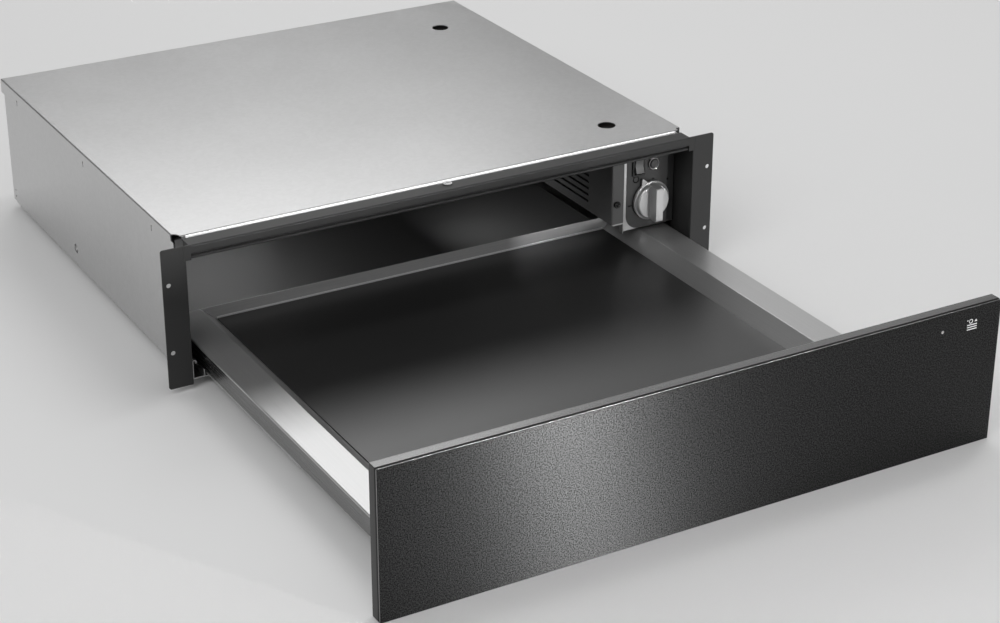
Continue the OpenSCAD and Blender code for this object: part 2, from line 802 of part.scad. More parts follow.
module fan_scroll() {
    color(zinc) difference() {
        translate([0, fan_y, fan_z]) difference() {
            run_x(scroll_x, scroll_end) {
                circle(r = scroll_r, $fn = round_fn);
                translate([duct_front - fan_y, duct_low - fan_z])
                    square([fan_y - duct_front, duct_top - duct_low]);
            }
            run_x(scroll_x + scroll_t, scroll_end - scroll_t) {
                circle(r = scroll_r - scroll_t, $fn = round_fn);
                translate([duct_front - fan_y - 1, duct_low - fan_z + scroll_t])
                    square([fan_y - duct_front, duct_top - duct_low - 2 * scroll_t]);
            }
        }
        bar_x(fan_eye, [scroll_x - 1, fan_y, fan_z], 4);
        bar_x(2 * fan_shaft_d + 1, [scroll_end - 3, fan_y, fan_z], 6);
        for (z = [element_low, element_high])
            bar_x(element_d + 0.06, [scroll_end - 3, element_back, z], 6);
    }
}

// Motor on four short posts, with a foot on the compartment's floor
module fan_motor() {
    start = scroll_end + touch;
    post = motor_d / 2 - 6;
    color([0.55, 0.55, 0.57]) difference() {
        union() {
            bar_x(motor_d, [start + motor_gap, fan_y, fan_z], motor_w);
            bar_x(3 * fan_shaft_d, [start + motor_gap + motor_w - 0.5, fan_y, fan_z], 3);
            for (q = [45, 135, 225, 315])
                bar_x(5, [start, fan_y + post * cos(q), fan_z + post * sin(q)], motor_gap + 1);
            block([start + motor_gap + 4, start + motor_gap + 4 + motor_foot],
                  [fan_y - motor_foot / 2, fan_y + motor_foot / 2],
                  [partition_z + partition_t + touch, fan_z - motor_d / 2 + 2]);
        }
        bar_x(fan_shaft_d + 0.1, [start + 1, fan_y, fan_z], shaft_in + 2);
    }
}

module fan_wheel() {
    rim_t = 1;
    lip = 7;
    chord = 7.2;
    wheel_back = fan_x + fan_w;
    hub_len = fan_w * 0.7;
    color(zinc) {
        bar_x(fan_d, [wheel_back - rim_t, fan_y, fan_z], rim_t);
        bar_x(fan_hub_d, [wheel_back - hub_len, fan_y, fan_z], hub_len - rim_t / 2);
        bar_x(fan_shaft_d, [wheel_back - hub_len + 2, fan_y, fan_z],
              hub_len - 2 + scroll_end - wheel_back + shaft_in);
        difference() {
            bar_x(fan_d, [fan_x, fan_y, fan_z], rim_t);
            bar_x(fan_d - 2 * lip, [fan_x - 1, fan_y, fan_z], 2 + rim_t);
        }
        translate([0, fan_y, fan_z]) for (i = [0:blade_count - 1])
            rotate([i * 360 / blade_count, 0, 0])
                translate([fan_x, 0, fan_d / 2 - lip + 2]) rotate([32, 0, 0])
                    block([rim_t / 2, fan_w - rim_t / 2], [-0.4, 0.4], [-chord / 2, chord / 2]);
    }
}

// Tubular element folded into a hairpin in the fan's duct, with fins along it
module heating_element() {
    fin_in = 12;
    fins = floor((element_back - element_front - 2 * fin_in) / fin_pitch) + 1;
    color(dark_steel) {
        for (z = [element_low, element_high]) {
            bar_y(element_d, [element_x, element_front, z], element_back - element_front);
            translate([element_x, element_back, z]) sphere(d = element_d, $fn = round_fn);
            bar_x(element_d, [element_x, element_back, z], element_end - element_x);
        }
        translate([element_x, element_front, (element_low + element_high) / 2])
            rotate([0, 90, 0]) rotate([0, 0, 180])
                rotate_extrude(angle = 180, $fn = round_fn)
                    translate([element_pitch / 2, 0]) circle(d = element_d, $fn = round_fn);
        for (i = [0:fins - 1])
            translate([element_x - fan_w * 0.4, element_front + fin_in + i * fin_pitch,
                       element_low - fin_over])
                cube([fan_w * 0.8, 0.6, element_pitch + 2 * fin_over]);
    }
}

module thermal_cutout() {
    y = duct_front + 70;
    body_h = 6;
    color(black) translate([element_x, y, duct_top + touch]) {
        bar_z(fan_w * 0.75, [0, 0, 0], body_h);
        for (x = [-4, 4]) block([x - 0.4, x + 0.4], [-3, 3], [body_h - 1, body_h + 7]);
    }
}

module terminal_block() {
    pitch = 10;
    depth = 16;
    y0 = comp_back - 30;
    z0 = partition_z + partition_t + touch;
    color([0.85, 0.85, 0.82]) difference() {
        block([gland_x - 1.6 * pitch, gland_x + 1.6 * pitch], [y0, y0 + depth], [z0, z0 + 14]);
        for (i = [-1:1]) {
            for (y = [y0 - 1, y0 + depth - 5])
                bar_y(4, [gland_x + i * pitch, y, z0 + 6], 6);
            for (y = [y0 + 4, y0 + depth - 4])
                bar_z(3.4, [gland_x + i * pitch, y, z0 + 6.5], 9);
        }
    }
}

module cable_gland() {
    wall = comp_back + touch;
    flange = 3;
    color(black) difference() {
        union() {
            bar_y(gland_d + 6, [gland_x, wall - flange - 1 - touch, gland_z], flange + 1);
            bar_y(gland_d - 0.2, [gland_x, wall - flange, gland_z], 2 * flange);
            bar_y(gland_d + 6, [gland_x, wall + sheet_t + touch, gland_z], flange);
            translate([gland_x, wall + sheet_t + flange, gland_z]) rotate([-90, 0, 0])
                cylinder(d1 = gland_d + 2, d2 = gland_d - 4, h = 2 * flange, $fn = round_fn);
        }
        bar_y(cable_d, [gland_x, wall - 10, gland_z], 30);
    }
}

// Runners

// A channel section: its web at back, its flanges reaching to open
module channel(back, open, half) {
    turn = sign(open - back);
    translate([min(back, back + turn * steel_t), -half]) square([steel_t, 2 * half]);
    for (z = [-half, half - steel_t])
        translate([min(back, open), z]) square([abs(open - back), steel_t]);
}

// The grooves that a row of balls runs in, above and below the centre line
module races(x, row) {
    for (s = [-1, 1]) translate([x, s * row]) circle(r = race_r, $fn = round_fn);
}

// The fixed member, with a trough on its outer side whose wall ends in a turned-down lip
module runner_fixed(side) {
    mid = steel_t / 2;
    low = mid - runner_h / 2;
    wall = foot_out - mid;
    top = low + trough_h - steel_t;
    curl = 3.2;
    tail = fixed_front + fixed_len;
    color(steel) on_side(side) difference() {
        translate([0, 0, runner_z]) union() {
            run_y(fixed_front, tail) difference() {
                union() {
                    channel(runner_out, fixed_edge, runner_h / 2);
                    for (z = [-runner_h / 2, runner_h / 2 - 2])
                        translate([fixed_edge, z]) square([steel_t, 2]);
                }
                races(rear_race_x, rear_row);
            }
            run_y(fixed_front, tail)
                bent_sheet([[runner_out - mid, low], [wall, low], [wall, top],
                            [wall - curl, top], [wall - curl, top - curl]], steel_t);
        }
        bar_x(rivet_bore, [foot_out - steel_t - 0.4, boss_y, boss_z], 3);
    }
}

// Rivets through the bosses of the side panels and the outer walls of the fixed members
module runner_rivets() {
    seat = foot_out + touch + boss_floor + touch;
    color(steel) for (side = [-1, 1]) on_side(side) {
        bar_x(rivet_d, [foot_out - steel_t - 0.3, boss_y, boss_z], 3);
        translate([seat, boss_y, boss_z]) rotate([0, 90, 0])
            cylinder(d1 = 2 * rivet_d, d2 = 1.2 * rivet_d, h = 0.8, $fn = round_fn);
    }
}

module runner_middle(side) {
    color(steel) on_side(side) translate([0, 0, runner_z])
        run_y(middle_front, middle_front + moving_len)
            difference() {
                channel(middle_back, middle_edge, middle_half);
                races(rear_race_x, rear_row);
                races(front_race_x, front_row);
            }
}

module runner_drawer(side) {
    tail = member_front + moving_len;
    color(steel) on_side(side) translate([0, 0, runner_z]) {
        run_y(member_front, tail) difference() {
            channel(runner_in, member_edge, member_half);
            races(front_race_x, front_row);
        }
        block([runner_in + 0.5, member_edge], [tail - steel_t, tail],
              [-member_half + 0.5, member_half - 0.5]);
    }
}

// Balls in two rows with the bent strip that spaces them
module ball_cage(side, front, row, x, web) {
    pitch = (cage_len - 2 * cage_end) / (ball_count - 1);
    arm = x - ball_d * 0.8;
    color([0.85, 0.75, 0.45]) on_side(side) translate([0, front, runner_z]) {
        difference() {
            run_y(0, cage_len) {
                for (z = [-row - cage_t / 2, row - cage_t / 2])
                    translate([arm, z]) square([web - arm, cage_t]);
                translate([web - cage_t, -row - cage_t / 2])
                    square([cage_t, 2 * row + cage_t]);
            }
            for (s = [-1, 1], i = [0:ball_count - 1])
                bar_z(ball_d + 0.24, [x, cage_end + i * pitch, s * row - 3], 6);
        }
        for (s = [-1, 1], i = [0:ball_count - 1])
            translate([x, cage_end + i * pitch, s * row]) sphere(d = ball_d, $fn = round_fn);
    }
}

module rear_balls(side) {
    ball_cage(side, rear_cage_front, rear_row, rear_race_x, runner_out - steel_t - web_gap);
}

module front_balls(side) {
    ball_cage(side, front_cage_front, front_row, front_race_x,
              middle_back - steel_t - web_gap);
}

module push_latch(side) {
    half = 6;
    color(black) on_side(side) difference() {
        block([runner_in + 3.4, runner_out - steel_t - touch],
              [latch_front, latch_front + latch_len], [runner_z - half, runner_z + half]);
        bar_y(plunger_d + 0.1, [plunger_x, latch_front - 1, runner_z], latch_len - 5);
    }
}

module push_plunger(side) {
    color(light_grey) on_side(side)
        bar_y(plunger_d, [plunger_x, plunger_tip, runner_z], latch_front + 9 - plunger_tip);
}

// Drawer

// The folded chassis reaches over each runner and hangs down outside it as a flange
module drawer_chassis() {
    mid = drawer_t / 2;
    edge = chassis_half - mid;
    low = drawer_z + mid;
    top = rim_low - touch - mid;
    flange = flange_in + mid;
    half = [[edge, low], [edge, top], [flange, top], [flange, flange_low]];
    other_half = [for (p = reversed(half)) [-p[0], p[1]]];
    color(steel) difference() {
        union() {
            run_y(drawer_front + drawer_t, drawer_back - 1)
                bent_sheet(concat(other_half, half), drawer_t);
            run_y(drawer_front + touch, drawer_front + drawer_t + touch)
                soft_rectangle([-chassis_half, chassis_half], [drawer_z, front_wall_top], 3);
        }
        for (p = panel_screw_places)
            bar_y(panel_screw_d + 4 * slip, [p[0], drawer_front - 1, p[1]], 4);
    }
}

module rim(side) {
    mid = drawer_t / 2;
    color(steel) on_side(side) run_y(drawer_front + drawer_t + 2 * touch, drawer_back)
        bent_sheet([[rim_x - mid, rim_z - hem_h], [rim_x - mid, rim_z - mid],
                    [rim_in + mid, rim_z - mid],
                    [tray_half + mid, tray_z + mid + touch],
                    [tray_half - rim_foot, tray_z + mid + touch]],
                   drawer_t, 0.8);
}

module tray_floor() {
    mid = drawer_t / 2;
    foot = drawer_z + drawer_t + touch + mid;
    color(steel) {
        block([-floor_edge, floor_edge],
              [drawer_front + drawer_t + 2 * touch, drawer_back - drawer_t - touch],
              [tray_z, tray_z + drawer_t]);
        for (x = [-1, 0, 1] * (tray_half - 85.4))
            run_y(drawer_front + 20, drawer_back - 20)
                bent_sheet([[x - 24, tray_z - mid + touch], [x - 10, tray_z - mid + touch],
                            [x - 7, foot], [x + 7, foot], [x + 10, tray_z - mid + touch],
                            [x + 24, tray_z - mid + touch]], drawer_t, 0.9);
    }
}

module tray_back() {
    low = tray_z + drawer_t + 3 * touch;
    color(steel) run_y(drawer_back - drawer_t, drawer_back)
        polygon([[-floor_edge, tray_z], [floor_edge, tray_z], [floor_edge, low],
                 [tray_half - 0.2, low], [rim_in - 0.9, rim_z], [-rim_in + 0.9, rim_z],
                 [-tray_half + 0.2, low], [-floor_edge, low]]);
}

module mat() {
    color(black) run_y(drawer_front + drawer_t + 1, drawer_back - drawer_t - 1.2)
        soft_rectangle([-tray_half + 0.8, tray_half - 0.8], [mat_low + touch, mat_z], 0.3);
}

// Front panel

module panel_frame() {
    wall = 1.2;
    x = panel_w / 2;
    color(dark_paint) difference() {
        block([-x, x], [frame_face, drawer_front], [panel_low, panel_top]);
        block([-x + wall, x - wall], [frame_face + wall, drawer_front - wall],
              [panel_low + wall, panel_top - wall]);
        for (p = panel_screw_places)
            bar_y(panel_screw_d + 0.2, [p[0], drawer_front - 3, p[1]], 6);
        bar_y(lens_d + 0.1, [lens_x, frame_face - 1, lens_z], 4);
    }
}

module panel_joint() {
    land = 2.4;
    color(black) difference() {
        block([-panel_w / 2 + land, panel_w / 2 - land], [sheet_back + touch, frame_face - touch],
              [panel_low + land, panel_top - land]);
        bar_y(lens_d + 0.1, [lens_x, sheet_back - 1, lens_z], 4);
    }
}

module front_sheet() {
    color([0.22, 0.22, 0.23]) difference() {
        run_y(panel_face, sheet_back)
            soft_rectangle([-panel_w / 2, panel_w / 2], [panel_low, panel_top], 0.6);
        bar_y(lens_d + 0.1, [lens_x, panel_face - 1, lens_z], 4);
    }
}

module indicator_lens() {
    color([0.9, 0.9, 0.9])
        bar_y(lens_d, [lens_x, panel_face - 0.1, lens_z], joint_w + front_t + 3);
}

module panel_screws() {
    color(steel) for (p = panel_screw_places)
        translate([p[0], drawer_front + drawer_t + 2 * touch, p[1]])
            rotate([-90, 0, 0]) screw(8, 2.2, panel_screw_d, 3.4, true);
}

module panel_bumpers() {
    color(light_grey) for (x = [-1, 1], z = [panel_low + bumper_low, panel_top - bumper_drop])
        bar_y(bumper_d, [x * bumper_x, drawer_front + touch, z], closed_gap - 0.4);
}

top_cover();
side_panel(-1);  // side_panel_left
side_panel(1);  // side_panel_right
base_plate();
back_panel();
casing_screws();
cavity_floor();
cavity_ceiling();
wool_pad();
top_rail();
frame_upright(-1);  // frame_upright_left
frame_upright(1);  // frame_upright_right
rail_screw();
partition();
partition_screw();
control_plate();
rocker_housing();
rocker();
lamp_body();
lamp_lens();
thermostat();
thermostat_shaft();
knob();
fan_scroll();
fan_motor();
fan_wheel();
heating_element();
thermal_cutout();
terminal_block();
cable_gland();
runner_fixed(-1);  // runner_fixed_left
runner_fixed(1);  // runner_fixed_right
runner_rivets();
runner_middle(-1);  // runner_middle_left
runner_middle(1);  // runner_middle_right
runner_drawer(-1);  // runner_drawer_left
runner_drawer(1);  // runner_drawer_right
rear_balls(-1);  // rear_balls_left
rear_balls(1);  // rear_balls_right
front_balls(-1);  // front_balls_left
front_balls(1);  // front_balls_right
push_latch(-1);  // push_latch_left
push_latch(1);  // push_latch_right
push_plunger(-1);  // push_plunger_left
push_plunger(1);  // push_plunger_right
drawer_chassis();
rim(-1);  // rim_left
rim(1);  // rim_right
tray_floor();
tray_back();
mat();
panel_frame();
panel_joint();
front_sheet();
panel_screws();
panel_bumpers();
indicator_lens();
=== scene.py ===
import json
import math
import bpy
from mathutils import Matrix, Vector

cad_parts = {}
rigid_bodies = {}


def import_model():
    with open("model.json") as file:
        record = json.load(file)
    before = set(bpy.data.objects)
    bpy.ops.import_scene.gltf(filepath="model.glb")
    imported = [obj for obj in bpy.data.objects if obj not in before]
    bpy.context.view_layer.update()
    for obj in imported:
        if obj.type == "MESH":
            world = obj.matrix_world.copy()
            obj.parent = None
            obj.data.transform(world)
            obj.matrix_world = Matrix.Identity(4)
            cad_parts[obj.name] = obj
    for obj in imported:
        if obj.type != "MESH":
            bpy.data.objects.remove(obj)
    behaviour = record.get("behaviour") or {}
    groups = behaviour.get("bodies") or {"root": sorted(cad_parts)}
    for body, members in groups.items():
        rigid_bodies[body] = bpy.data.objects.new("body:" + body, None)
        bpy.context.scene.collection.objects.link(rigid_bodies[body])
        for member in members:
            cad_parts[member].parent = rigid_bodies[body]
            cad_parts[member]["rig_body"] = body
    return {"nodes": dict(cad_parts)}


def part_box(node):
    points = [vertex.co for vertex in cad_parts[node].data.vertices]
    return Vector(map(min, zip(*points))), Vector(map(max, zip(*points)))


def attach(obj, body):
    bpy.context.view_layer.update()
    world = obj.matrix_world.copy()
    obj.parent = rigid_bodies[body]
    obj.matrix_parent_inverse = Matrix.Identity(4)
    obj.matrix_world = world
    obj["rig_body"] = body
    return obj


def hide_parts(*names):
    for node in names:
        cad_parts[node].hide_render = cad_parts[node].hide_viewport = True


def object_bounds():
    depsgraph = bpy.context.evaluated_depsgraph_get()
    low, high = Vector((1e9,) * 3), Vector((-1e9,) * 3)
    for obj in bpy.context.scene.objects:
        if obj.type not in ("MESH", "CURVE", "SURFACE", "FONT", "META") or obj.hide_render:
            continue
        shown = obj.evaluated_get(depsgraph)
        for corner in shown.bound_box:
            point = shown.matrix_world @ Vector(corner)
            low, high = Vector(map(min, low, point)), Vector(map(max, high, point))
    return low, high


bl_info = {
    "name": "Warming Drawer",
    "version": (1, 0, 0),
    "blender": (4, 5, 0),
    "location": "View3D > Sidebar > Warming Drawer",
    "description": "Finishes a built-in warming drawer and sets it in a plain studio",
    "category": "Object",
}

import bpy
from mathutils import Matrix, Vector

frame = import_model()
cad_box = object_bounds()

MM = 0.001
FACING_FRONT = (math.radians(90.0), 0.0, 0.0)

# Millimetres
WELD = 0.001
PRINT_THICKNESS = 0.05
FOIL_THICKNESS = 0.15

# Degrees: faces that lie flatter than this merge, edges sharper than this are eased, and
# edges softer than this are shown smooth
FLAT_ANGLE = 1.0
EASED_ANGLE = 40.0
SMOOTH_ANGLE = 35.0


def linear(shade):
    """A grey given as a share of display white, as the linear colour that shows it."""
    return shade / 12.92 if shade <= 0.04045 else ((shade + 0.055) / 1.055) ** 2.4


def grey(shade, warmth=0.0):
    """A linear colour for a display grey, made a little warmer where asked."""
    return (linear(shade + warmth), linear(shade), linear(shade - warmth), 1.0)


# Sizes and colours that a user would change


class StageSettings(bpy.types.PropertyGroup):
    camera_place: bpy.props.FloatVectorProperty(
        name="Camera place", description="Where the camera stands", size=3,
        default=(-0.9433, -2.0115, 0.9572), subtype="TRANSLATION", unit="LENGTH")
    camera_turn: bpy.props.FloatVectorProperty(
        name="Camera turn", description="Tilt, roll and heading of the camera", size=3,
        default=(1.1248, 0.0, -0.5164), subtype="EULER", unit="ROTATION")
    focal_length: bpy.props.FloatProperty(
        name="Focal length", description="Lens in millimetres on a 36 mm sensor",
        default=82.26, min=20.0)
    floor_colour: bpy.props.FloatVectorProperty(
        name="Floor", description="Colour of the floor and the backdrop", size=3,
        default=(0.78, 0.78, 0.78), subtype="COLOR")
    backdrop: bpy.props.FloatProperty(
        name="Backdrop", description="Brightness of the pale backdrop round the floor",
        default=0.8, min=0.0, max=1.0)
    ceiling: bpy.props.FloatProperty(
        name="Ceiling", description="Brightness of the studio above the backdrop",
        default=0.16, min=0.0, max=1.0)
    key_power: bpy.props.FloatProperty(
        name="Key light", description="Power of the large lamp at the front left",
        default=32.0, unit="POWER")
    back_power: bpy.props.FloatProperty(
        name="Back light", description="Power of the large soft lamp behind the casing",
        default=18.5, unit="POWER")
    side_power: bpy.props.FloatProperty(
        name="Side light", description="Power of the weaker lamp behind and to the right",
        default=2.4, unit="POWER")
    top_power: bpy.props.FloatProperty(
        name="Top light", description="Power of the small lamp overhead that draws the edges",
        default=9.0, unit="POWER")
    strip_power: bpy.props.FloatProperty(
        name="Strip light", description="Power of the narrow lamp that the front panel shows",
        default=2.5, unit="POWER")
    cavity_power: bpy.props.FloatProperty(
        name="Cavity light", description="Power of the small lamp inside the open cavity",
        default=0.22, unit="POWER")
    fill: bpy.props.FloatProperty(
        name="Fill", description="Strength of the even light from all round",
        default=0.5, min=0.0)


class FinishSettings(bpy.types.PropertyGroup):
    zinc: bpy.props.FloatVectorProperty(
        name="Zinc sheet", description="Colour of the casing's sheets", size=3,
        default=grey(0.78)[:3], subtype="COLOR")
    paint: bpy.props.FloatVectorProperty(
        name="Frame paint", description="Colour of the front frame and the panel's frame",
        size=3, default=grey(0.19)[:3], subtype="COLOR")
    front: bpy.props.FloatVectorProperty(
        name="Front sheet", description="Colour of the dark brushed front", size=3,
        default=grey(0.22)[:3], subtype="COLOR")
    steel: bpy.props.FloatVectorProperty(
        name="Drawer steel", description="Colour of the drawer's bright sheets", size=3,
        default=grey(0.77)[:3], subtype="COLOR")
    mat: bpy.props.FloatVectorProperty(
        name="Mat", description="Colour of the non-slip mat", size=3,
        default=grey(0.13)[:3], subtype="COLOR")
    enamel: bpy.props.FloatVectorProperty(
        name="Cavity sheet", description="Colour of the dark sheets round the cavity",
        size=3, default=grey(0.36)[:3], subtype="COLOR")
    knob: bpy.props.FloatVectorProperty(
        name="Knob", description="Colour of the thermostat knob", size=3,
        default=grey(0.8)[:3], subtype="COLOR")


# Material kit


class Wire:
    """An output socket whose arithmetic adds Math nodes to its material."""

    def __init__(self, finish, socket):
        self.finish = finish
        self.socket = socket

    def math(self, operation, left, right):
        return self.finish.node("ShaderNodeMath", {"operation": operation}, {0: left, 1: right})

    def __add__(self, other):
        return self.math("ADD", self, other)

    def __radd__(self, other):
        return self.math("ADD", other, self)

    def __mul__(self, other):
        return self.math("MULTIPLY", self, other)


class Finish:
    """A material in the making: its Principled shader and the patterns that feed it."""

    def __init__(self, name, colour, roughness, metallic=0.0, **constants):
        self.material = bpy.data.materials.new(name)
        self.material.use_nodes = True
        self.tree = self.material.node_tree
        self.shader = self.tree.nodes["Principled BSDF"]
        self.place = self.node("ShaderNodeTexCoord", output="Object")
        self.set("Base Color", (*colour[:3], 1.0))
        self.set("Roughness", roughness)
        self.set("Metallic", metallic)
        for key, value in constants.items():
            self.set(key.replace("_", " "), value)
        self.colour = (*colour[:3], 1.0)

    def node(self, kind, settings=None, inputs=None, output=0):
        """Adds a node, sets it up, feeds its sockets and gives one output."""
        made = self.tree.nodes.new(kind)
        for key, value in (settings or {}).items():
            setattr(made, key, value)
        for key, value in (inputs or {}).items():
            self.feed(made.inputs[key], value)
        return Wire(self, made.outputs[output])

    def feed(self, socket, value):
        """Links a pattern to a socket, or sets the socket's constant."""
        if isinstance(value, Wire):
            self.tree.links.new(value.socket, socket)
        else:
            socket.default_value = value

    def set(self, name, value):
        """Feeds one socket of the Principled shader."""
        self.feed(self.shader.inputs[name], value)

    def stretched(self, scale):
        """Object coordinates in metres, scaled by axis."""
        return self.node("ShaderNodeMapping", None, {"Vector": self.place, "Scale": scale})

    def noise(self, scale, detail=2.0, stretch=(1.0, 1.0, 1.0)):
        """Cloudy pattern from 0 to 1 with so many spots to the metre."""
        return self.node("ShaderNodeTexNoise", None,
                         {"Vector": self.stretched(stretch), "Scale": scale, "Detail": detail})

    def cells(self, scale):
        """A random shade for each cell of a crystal-like pattern."""
        return self.node("ShaderNodeTexVoronoi", {"feature": "F1"},
                         {"Vector": self.place, "Scale": scale}, "Color")

    def ramp(self, value, low, high):
        """A pattern that is 0 below low, 1 above high and smooth between."""
        return self.node("ShaderNodeMapRange", {"interpolation_type": "SMOOTHSTEP"},
                         {0: value, 1: low, 2: high, 3: 0.0, 4: 1.0})

    def blend(self, share, first, second):
        """Mixes two colours."""
        return self.node("ShaderNodeMix", {"data_type": "RGBA"}, {0: share, 6: first, 7: second}, 2)

    def shade(self, share, darker, lighter):
        """The finish's own colour, varied between two brightness factors."""
        dark = [channel * darker for channel in self.colour[:3]] + [1.0]
        light = [min(channel * lighter, 1.0) for channel in self.colour[:3]] + [1.0]
        self.set("Base Color", self.blend(share, dark, light))

    def relief(self, height, depth):
        """Bumps of the given depth in metres."""
        bump = self.node("ShaderNodeBump", None,
                         {"Strength": 1.0, "Distance": depth, "Height": height})
        self.set("Normal", bump)


finishes = {}


def finish(maker):
    """Wraps a material maker, so that each material is made once."""
    def give(settings):
        if maker.__name__ not in finishes:
            finishes[maker.__name__] = maker(settings).material
        return finishes[maker.__name__]
    return give


# Finishes: noise sizes in spots to the metre, relief in metres


@finish
def zinc_sheet(look):
    """Zinc-coated sheet with faint crystals and clouds."""
    coat = Finish("zinc_sheet", look.zinc, 0.36, 1.0)
    clouds = coat.noise(5.0, 3.0)
    crystals = coat.node("ShaderNodeSeparateColor", None, {0: coat.cells(260.0)})
    coat.shade(clouds * 0.7 + crystals * 0.3, 0.9, 1.08)
    coat.set("Roughness", 0.27 + clouds * 0.05 + crystals * 0.03)
    coat.relief(coat.noise(1400.0, 1.0), 0.000012)
    return coat


@finish
def frame_paint(look):
    """Dark powder paint with a fine orange peel."""
    coat = Finish("frame_paint", look.paint, 0.42, 0.0, Specular_IOR_Level=0.3)
    clouds = coat.noise(14.0, 2.0)
    coat.shade(clouds, 0.9, 1.12)
    coat.set("Roughness", 0.38 + clouds * 0.08)
    coat.relief(coat.noise(900.0, 2.0), 0.00002)
    return coat


@finish
def front_steel(look):
    """Dark coated steel with an even, finely sparkling grain."""
    coat = Finish("front_steel", look.front, 0.38, 1.0, Anisotropic=1.0, Anisotropic_Rotation=0.25)
    grain = coat.ramp(coat.noise(850.0, 1.0), 0.36, 0.66)
    glints = coat.ramp(coat.noise(1500.0, 1.0), 0.45, 0.72)
    coat.shade(grain * 0.55 + glints * 0.45, 0.3, 2.0)
    coat.set("Roughness", 0.24 + grain * 0.03)
    coat.relief(grain, 0.000002)
    return coat


@finish
def lit_panel_paint(look):
    """Smooth dark coating of the front panel's frame, a lighter, more metallic copy of the frame
    paint: painted light on the faces that take it.
    """
    coat = Finish("lit_panel_paint", grey(0.46), 0.26, 0.7)
    clouds = coat.noise(14.0, 2.0)
    coat.shade(clouds, 0.9, 1.12)
    coat.set("Roughness", 0.23 + clouds * 0.06)
    coat.relief(coat.noise(900.0, 2.0), 0.000003)
    return coat


@finish
def painted_edge_highlight(look):
    """Bright steel on the eased edges of the dark front: a painted highlight line."""
    coat = Finish("painted_edge_highlight", grey(0.6), 0.3, 1.0)
    shear = coat.noise(700.0, 2.0)
    coat.shade(shear, 0.85, 1.05)
    coat.set("Roughness", 0.26 + shear * 0.08)
    return coat


@finish
def drawer_steel(look):
    """Bright steel, brushed along the drawer."""
    coat = Finish("drawer_steel", look.steel, 0.25, 1.0)
    grain = coat.noise(900.0, 2.0, (1.0, 0.015, 1.0))
    clouds = coat.noise(9.0, 2.0)
    coat.shade(grain * 0.4 + clouds * 0.6, 0.95, 1.04)
    coat.set("Roughness", 0.22 + grain * 0.06)
    return coat


@finish
def chassis_steel(look):
    """Duller steel of the folded chassis, brushed along the drawer."""
    coat = Finish("chassis_steel", grey(0.5), 0.27, 1.0)
    grain = coat.noise(900.0, 2.0, (1.0, 0.015, 1.0))
    coat.shade(grain, 0.95, 1.04)
    coat.set("Roughness", 0.24 + grain * 0.06)
    return coat


@finish
def painted_highlight_bend(look):
    """Bright metal of the cover's sloped strip, brighter than the cover's zinc: a painted
    highlight.
    """
    coat = Finish("painted_highlight_bend", grey(0.84), 0.28, 1.0)
    streaks = coat.noise(700.0, 2.0, (0.02, 1.0, 1.0))
    coat.shade(streaks, 0.92, 1.05)
    coat.set("Roughness", 0.25 + streaks * 0.05)
    return coat


@finish
def painted_fold_highlight(look):
    """Pale, half-metallic steel of the fold at the tray's back, paler than the tray round it: a
    painted highlight line.
    """
    coat = Finish("painted_fold_highlight", grey(0.9), 0.32, 0.4)
    grain = coat.noise(800.0, 2.0)
    coat.shade(grain, 0.93, 1.05)
    coat.set("Roughness", 0.28 + grain * 0.08)
    return coat


@finish
def rim_steel(look):
    """Satin steel of the rims, brushed along the drawer."""
    coat = Finish("rim_steel", look.steel, 0.34, 0.84)
    grain = coat.noise(900.0, 2.0, (1.0, 0.015, 1.0))
    coat.shade(grain, 0.93, 1.05)
    coat.set("Roughness", 0.31 + grain * 0.07)
    return coat


@finish
def tray_back_steel(look):
    """Duller steel of the tray's back, brushed from side to side."""
    coat = Finish("tray_back_steel", grey(0.86), 0.26, 0.52)
    grain = coat.noise(900.0, 2.0, (0.015, 1.0, 1.0))
    coat.shade(grain, 0.85, 1.1)
    coat.set("Roughness", 0.2 + grain * 0.08)
    return coat


@finish
def runner_steel(look):
    """Drawn steel of the runners, with a light film of grease."""
    coat = Finish("runner_steel", grey(0.78), 0.3, 1.0)
    grain = coat.noise(500.0, 3.0, (1.0, 0.02, 1.0))
    film = coat.noise(18.0, 2.0, (1.0, 0.3, 1.0))
    coat.shade(grain * 0.5 + film * 0.5, 0.84, 1.1)
    coat.set("Roughness", 0.24 + film * 0.14)
    return coat


@finish
def plated_steel(look):
    """Bright zinc plating of screws and shafts."""
    coat = Finish("plated_steel", grey(0.8), 0.24, 1.0)
    clouds = coat.noise(300.0, 2.0)
    coat.shade(clouds, 0.86, 1.06)
    coat.set("Roughness", 0.2 + clouds * 0.1)
    return coat


@finish
def mat_rubber(look):
    """Satin non-slip mat with a fine leathery grain."""
    coat = Finish("mat_rubber", look.mat, 0.36, Specular_IOR_Level=0.85)
    clouds = coat.noise(7.0, 2.0)
    grain = coat.noise(1800.0, 2.0)
    coat.shade(clouds, 0.88, 1.12)
    coat.set("Roughness", 0.31 + clouds * 0.04 + grain * 0.05)
    coat.relief(grain, 0.000012)
    return coat


@finish
def cavity_enamel(look):
    """Dark satin sheet inside the casing, brushed from side to side."""
    coat = Finish("cavity_enamel", look.enamel, 0.3, 0.2)
    clouds = coat.noise(9.0, 2.0)
    grain = coat.noise(900.0, 2.0, (0.02, 1.0, 1.0))
    coat.shade(clouds * 0.8 + grain * 0.2, 0.88, 1.12)
    coat.set("Roughness", 0.26 + clouds * 0.08)
    return coat


@finish
def partition_coating(look):
    """Satin dark coating of the partition."""
    coat = Finish("partition_coating", grey(0.26), 0.4)
    clouds = coat.noise(20.0, 2.0)
    coat.shade(clouds, 0.9, 1.1)
    coat.set("Roughness", 0.36 + clouds * 0.08)
    coat.relief(coat.noise(1100.0, 2.0), 0.00001)
    return coat


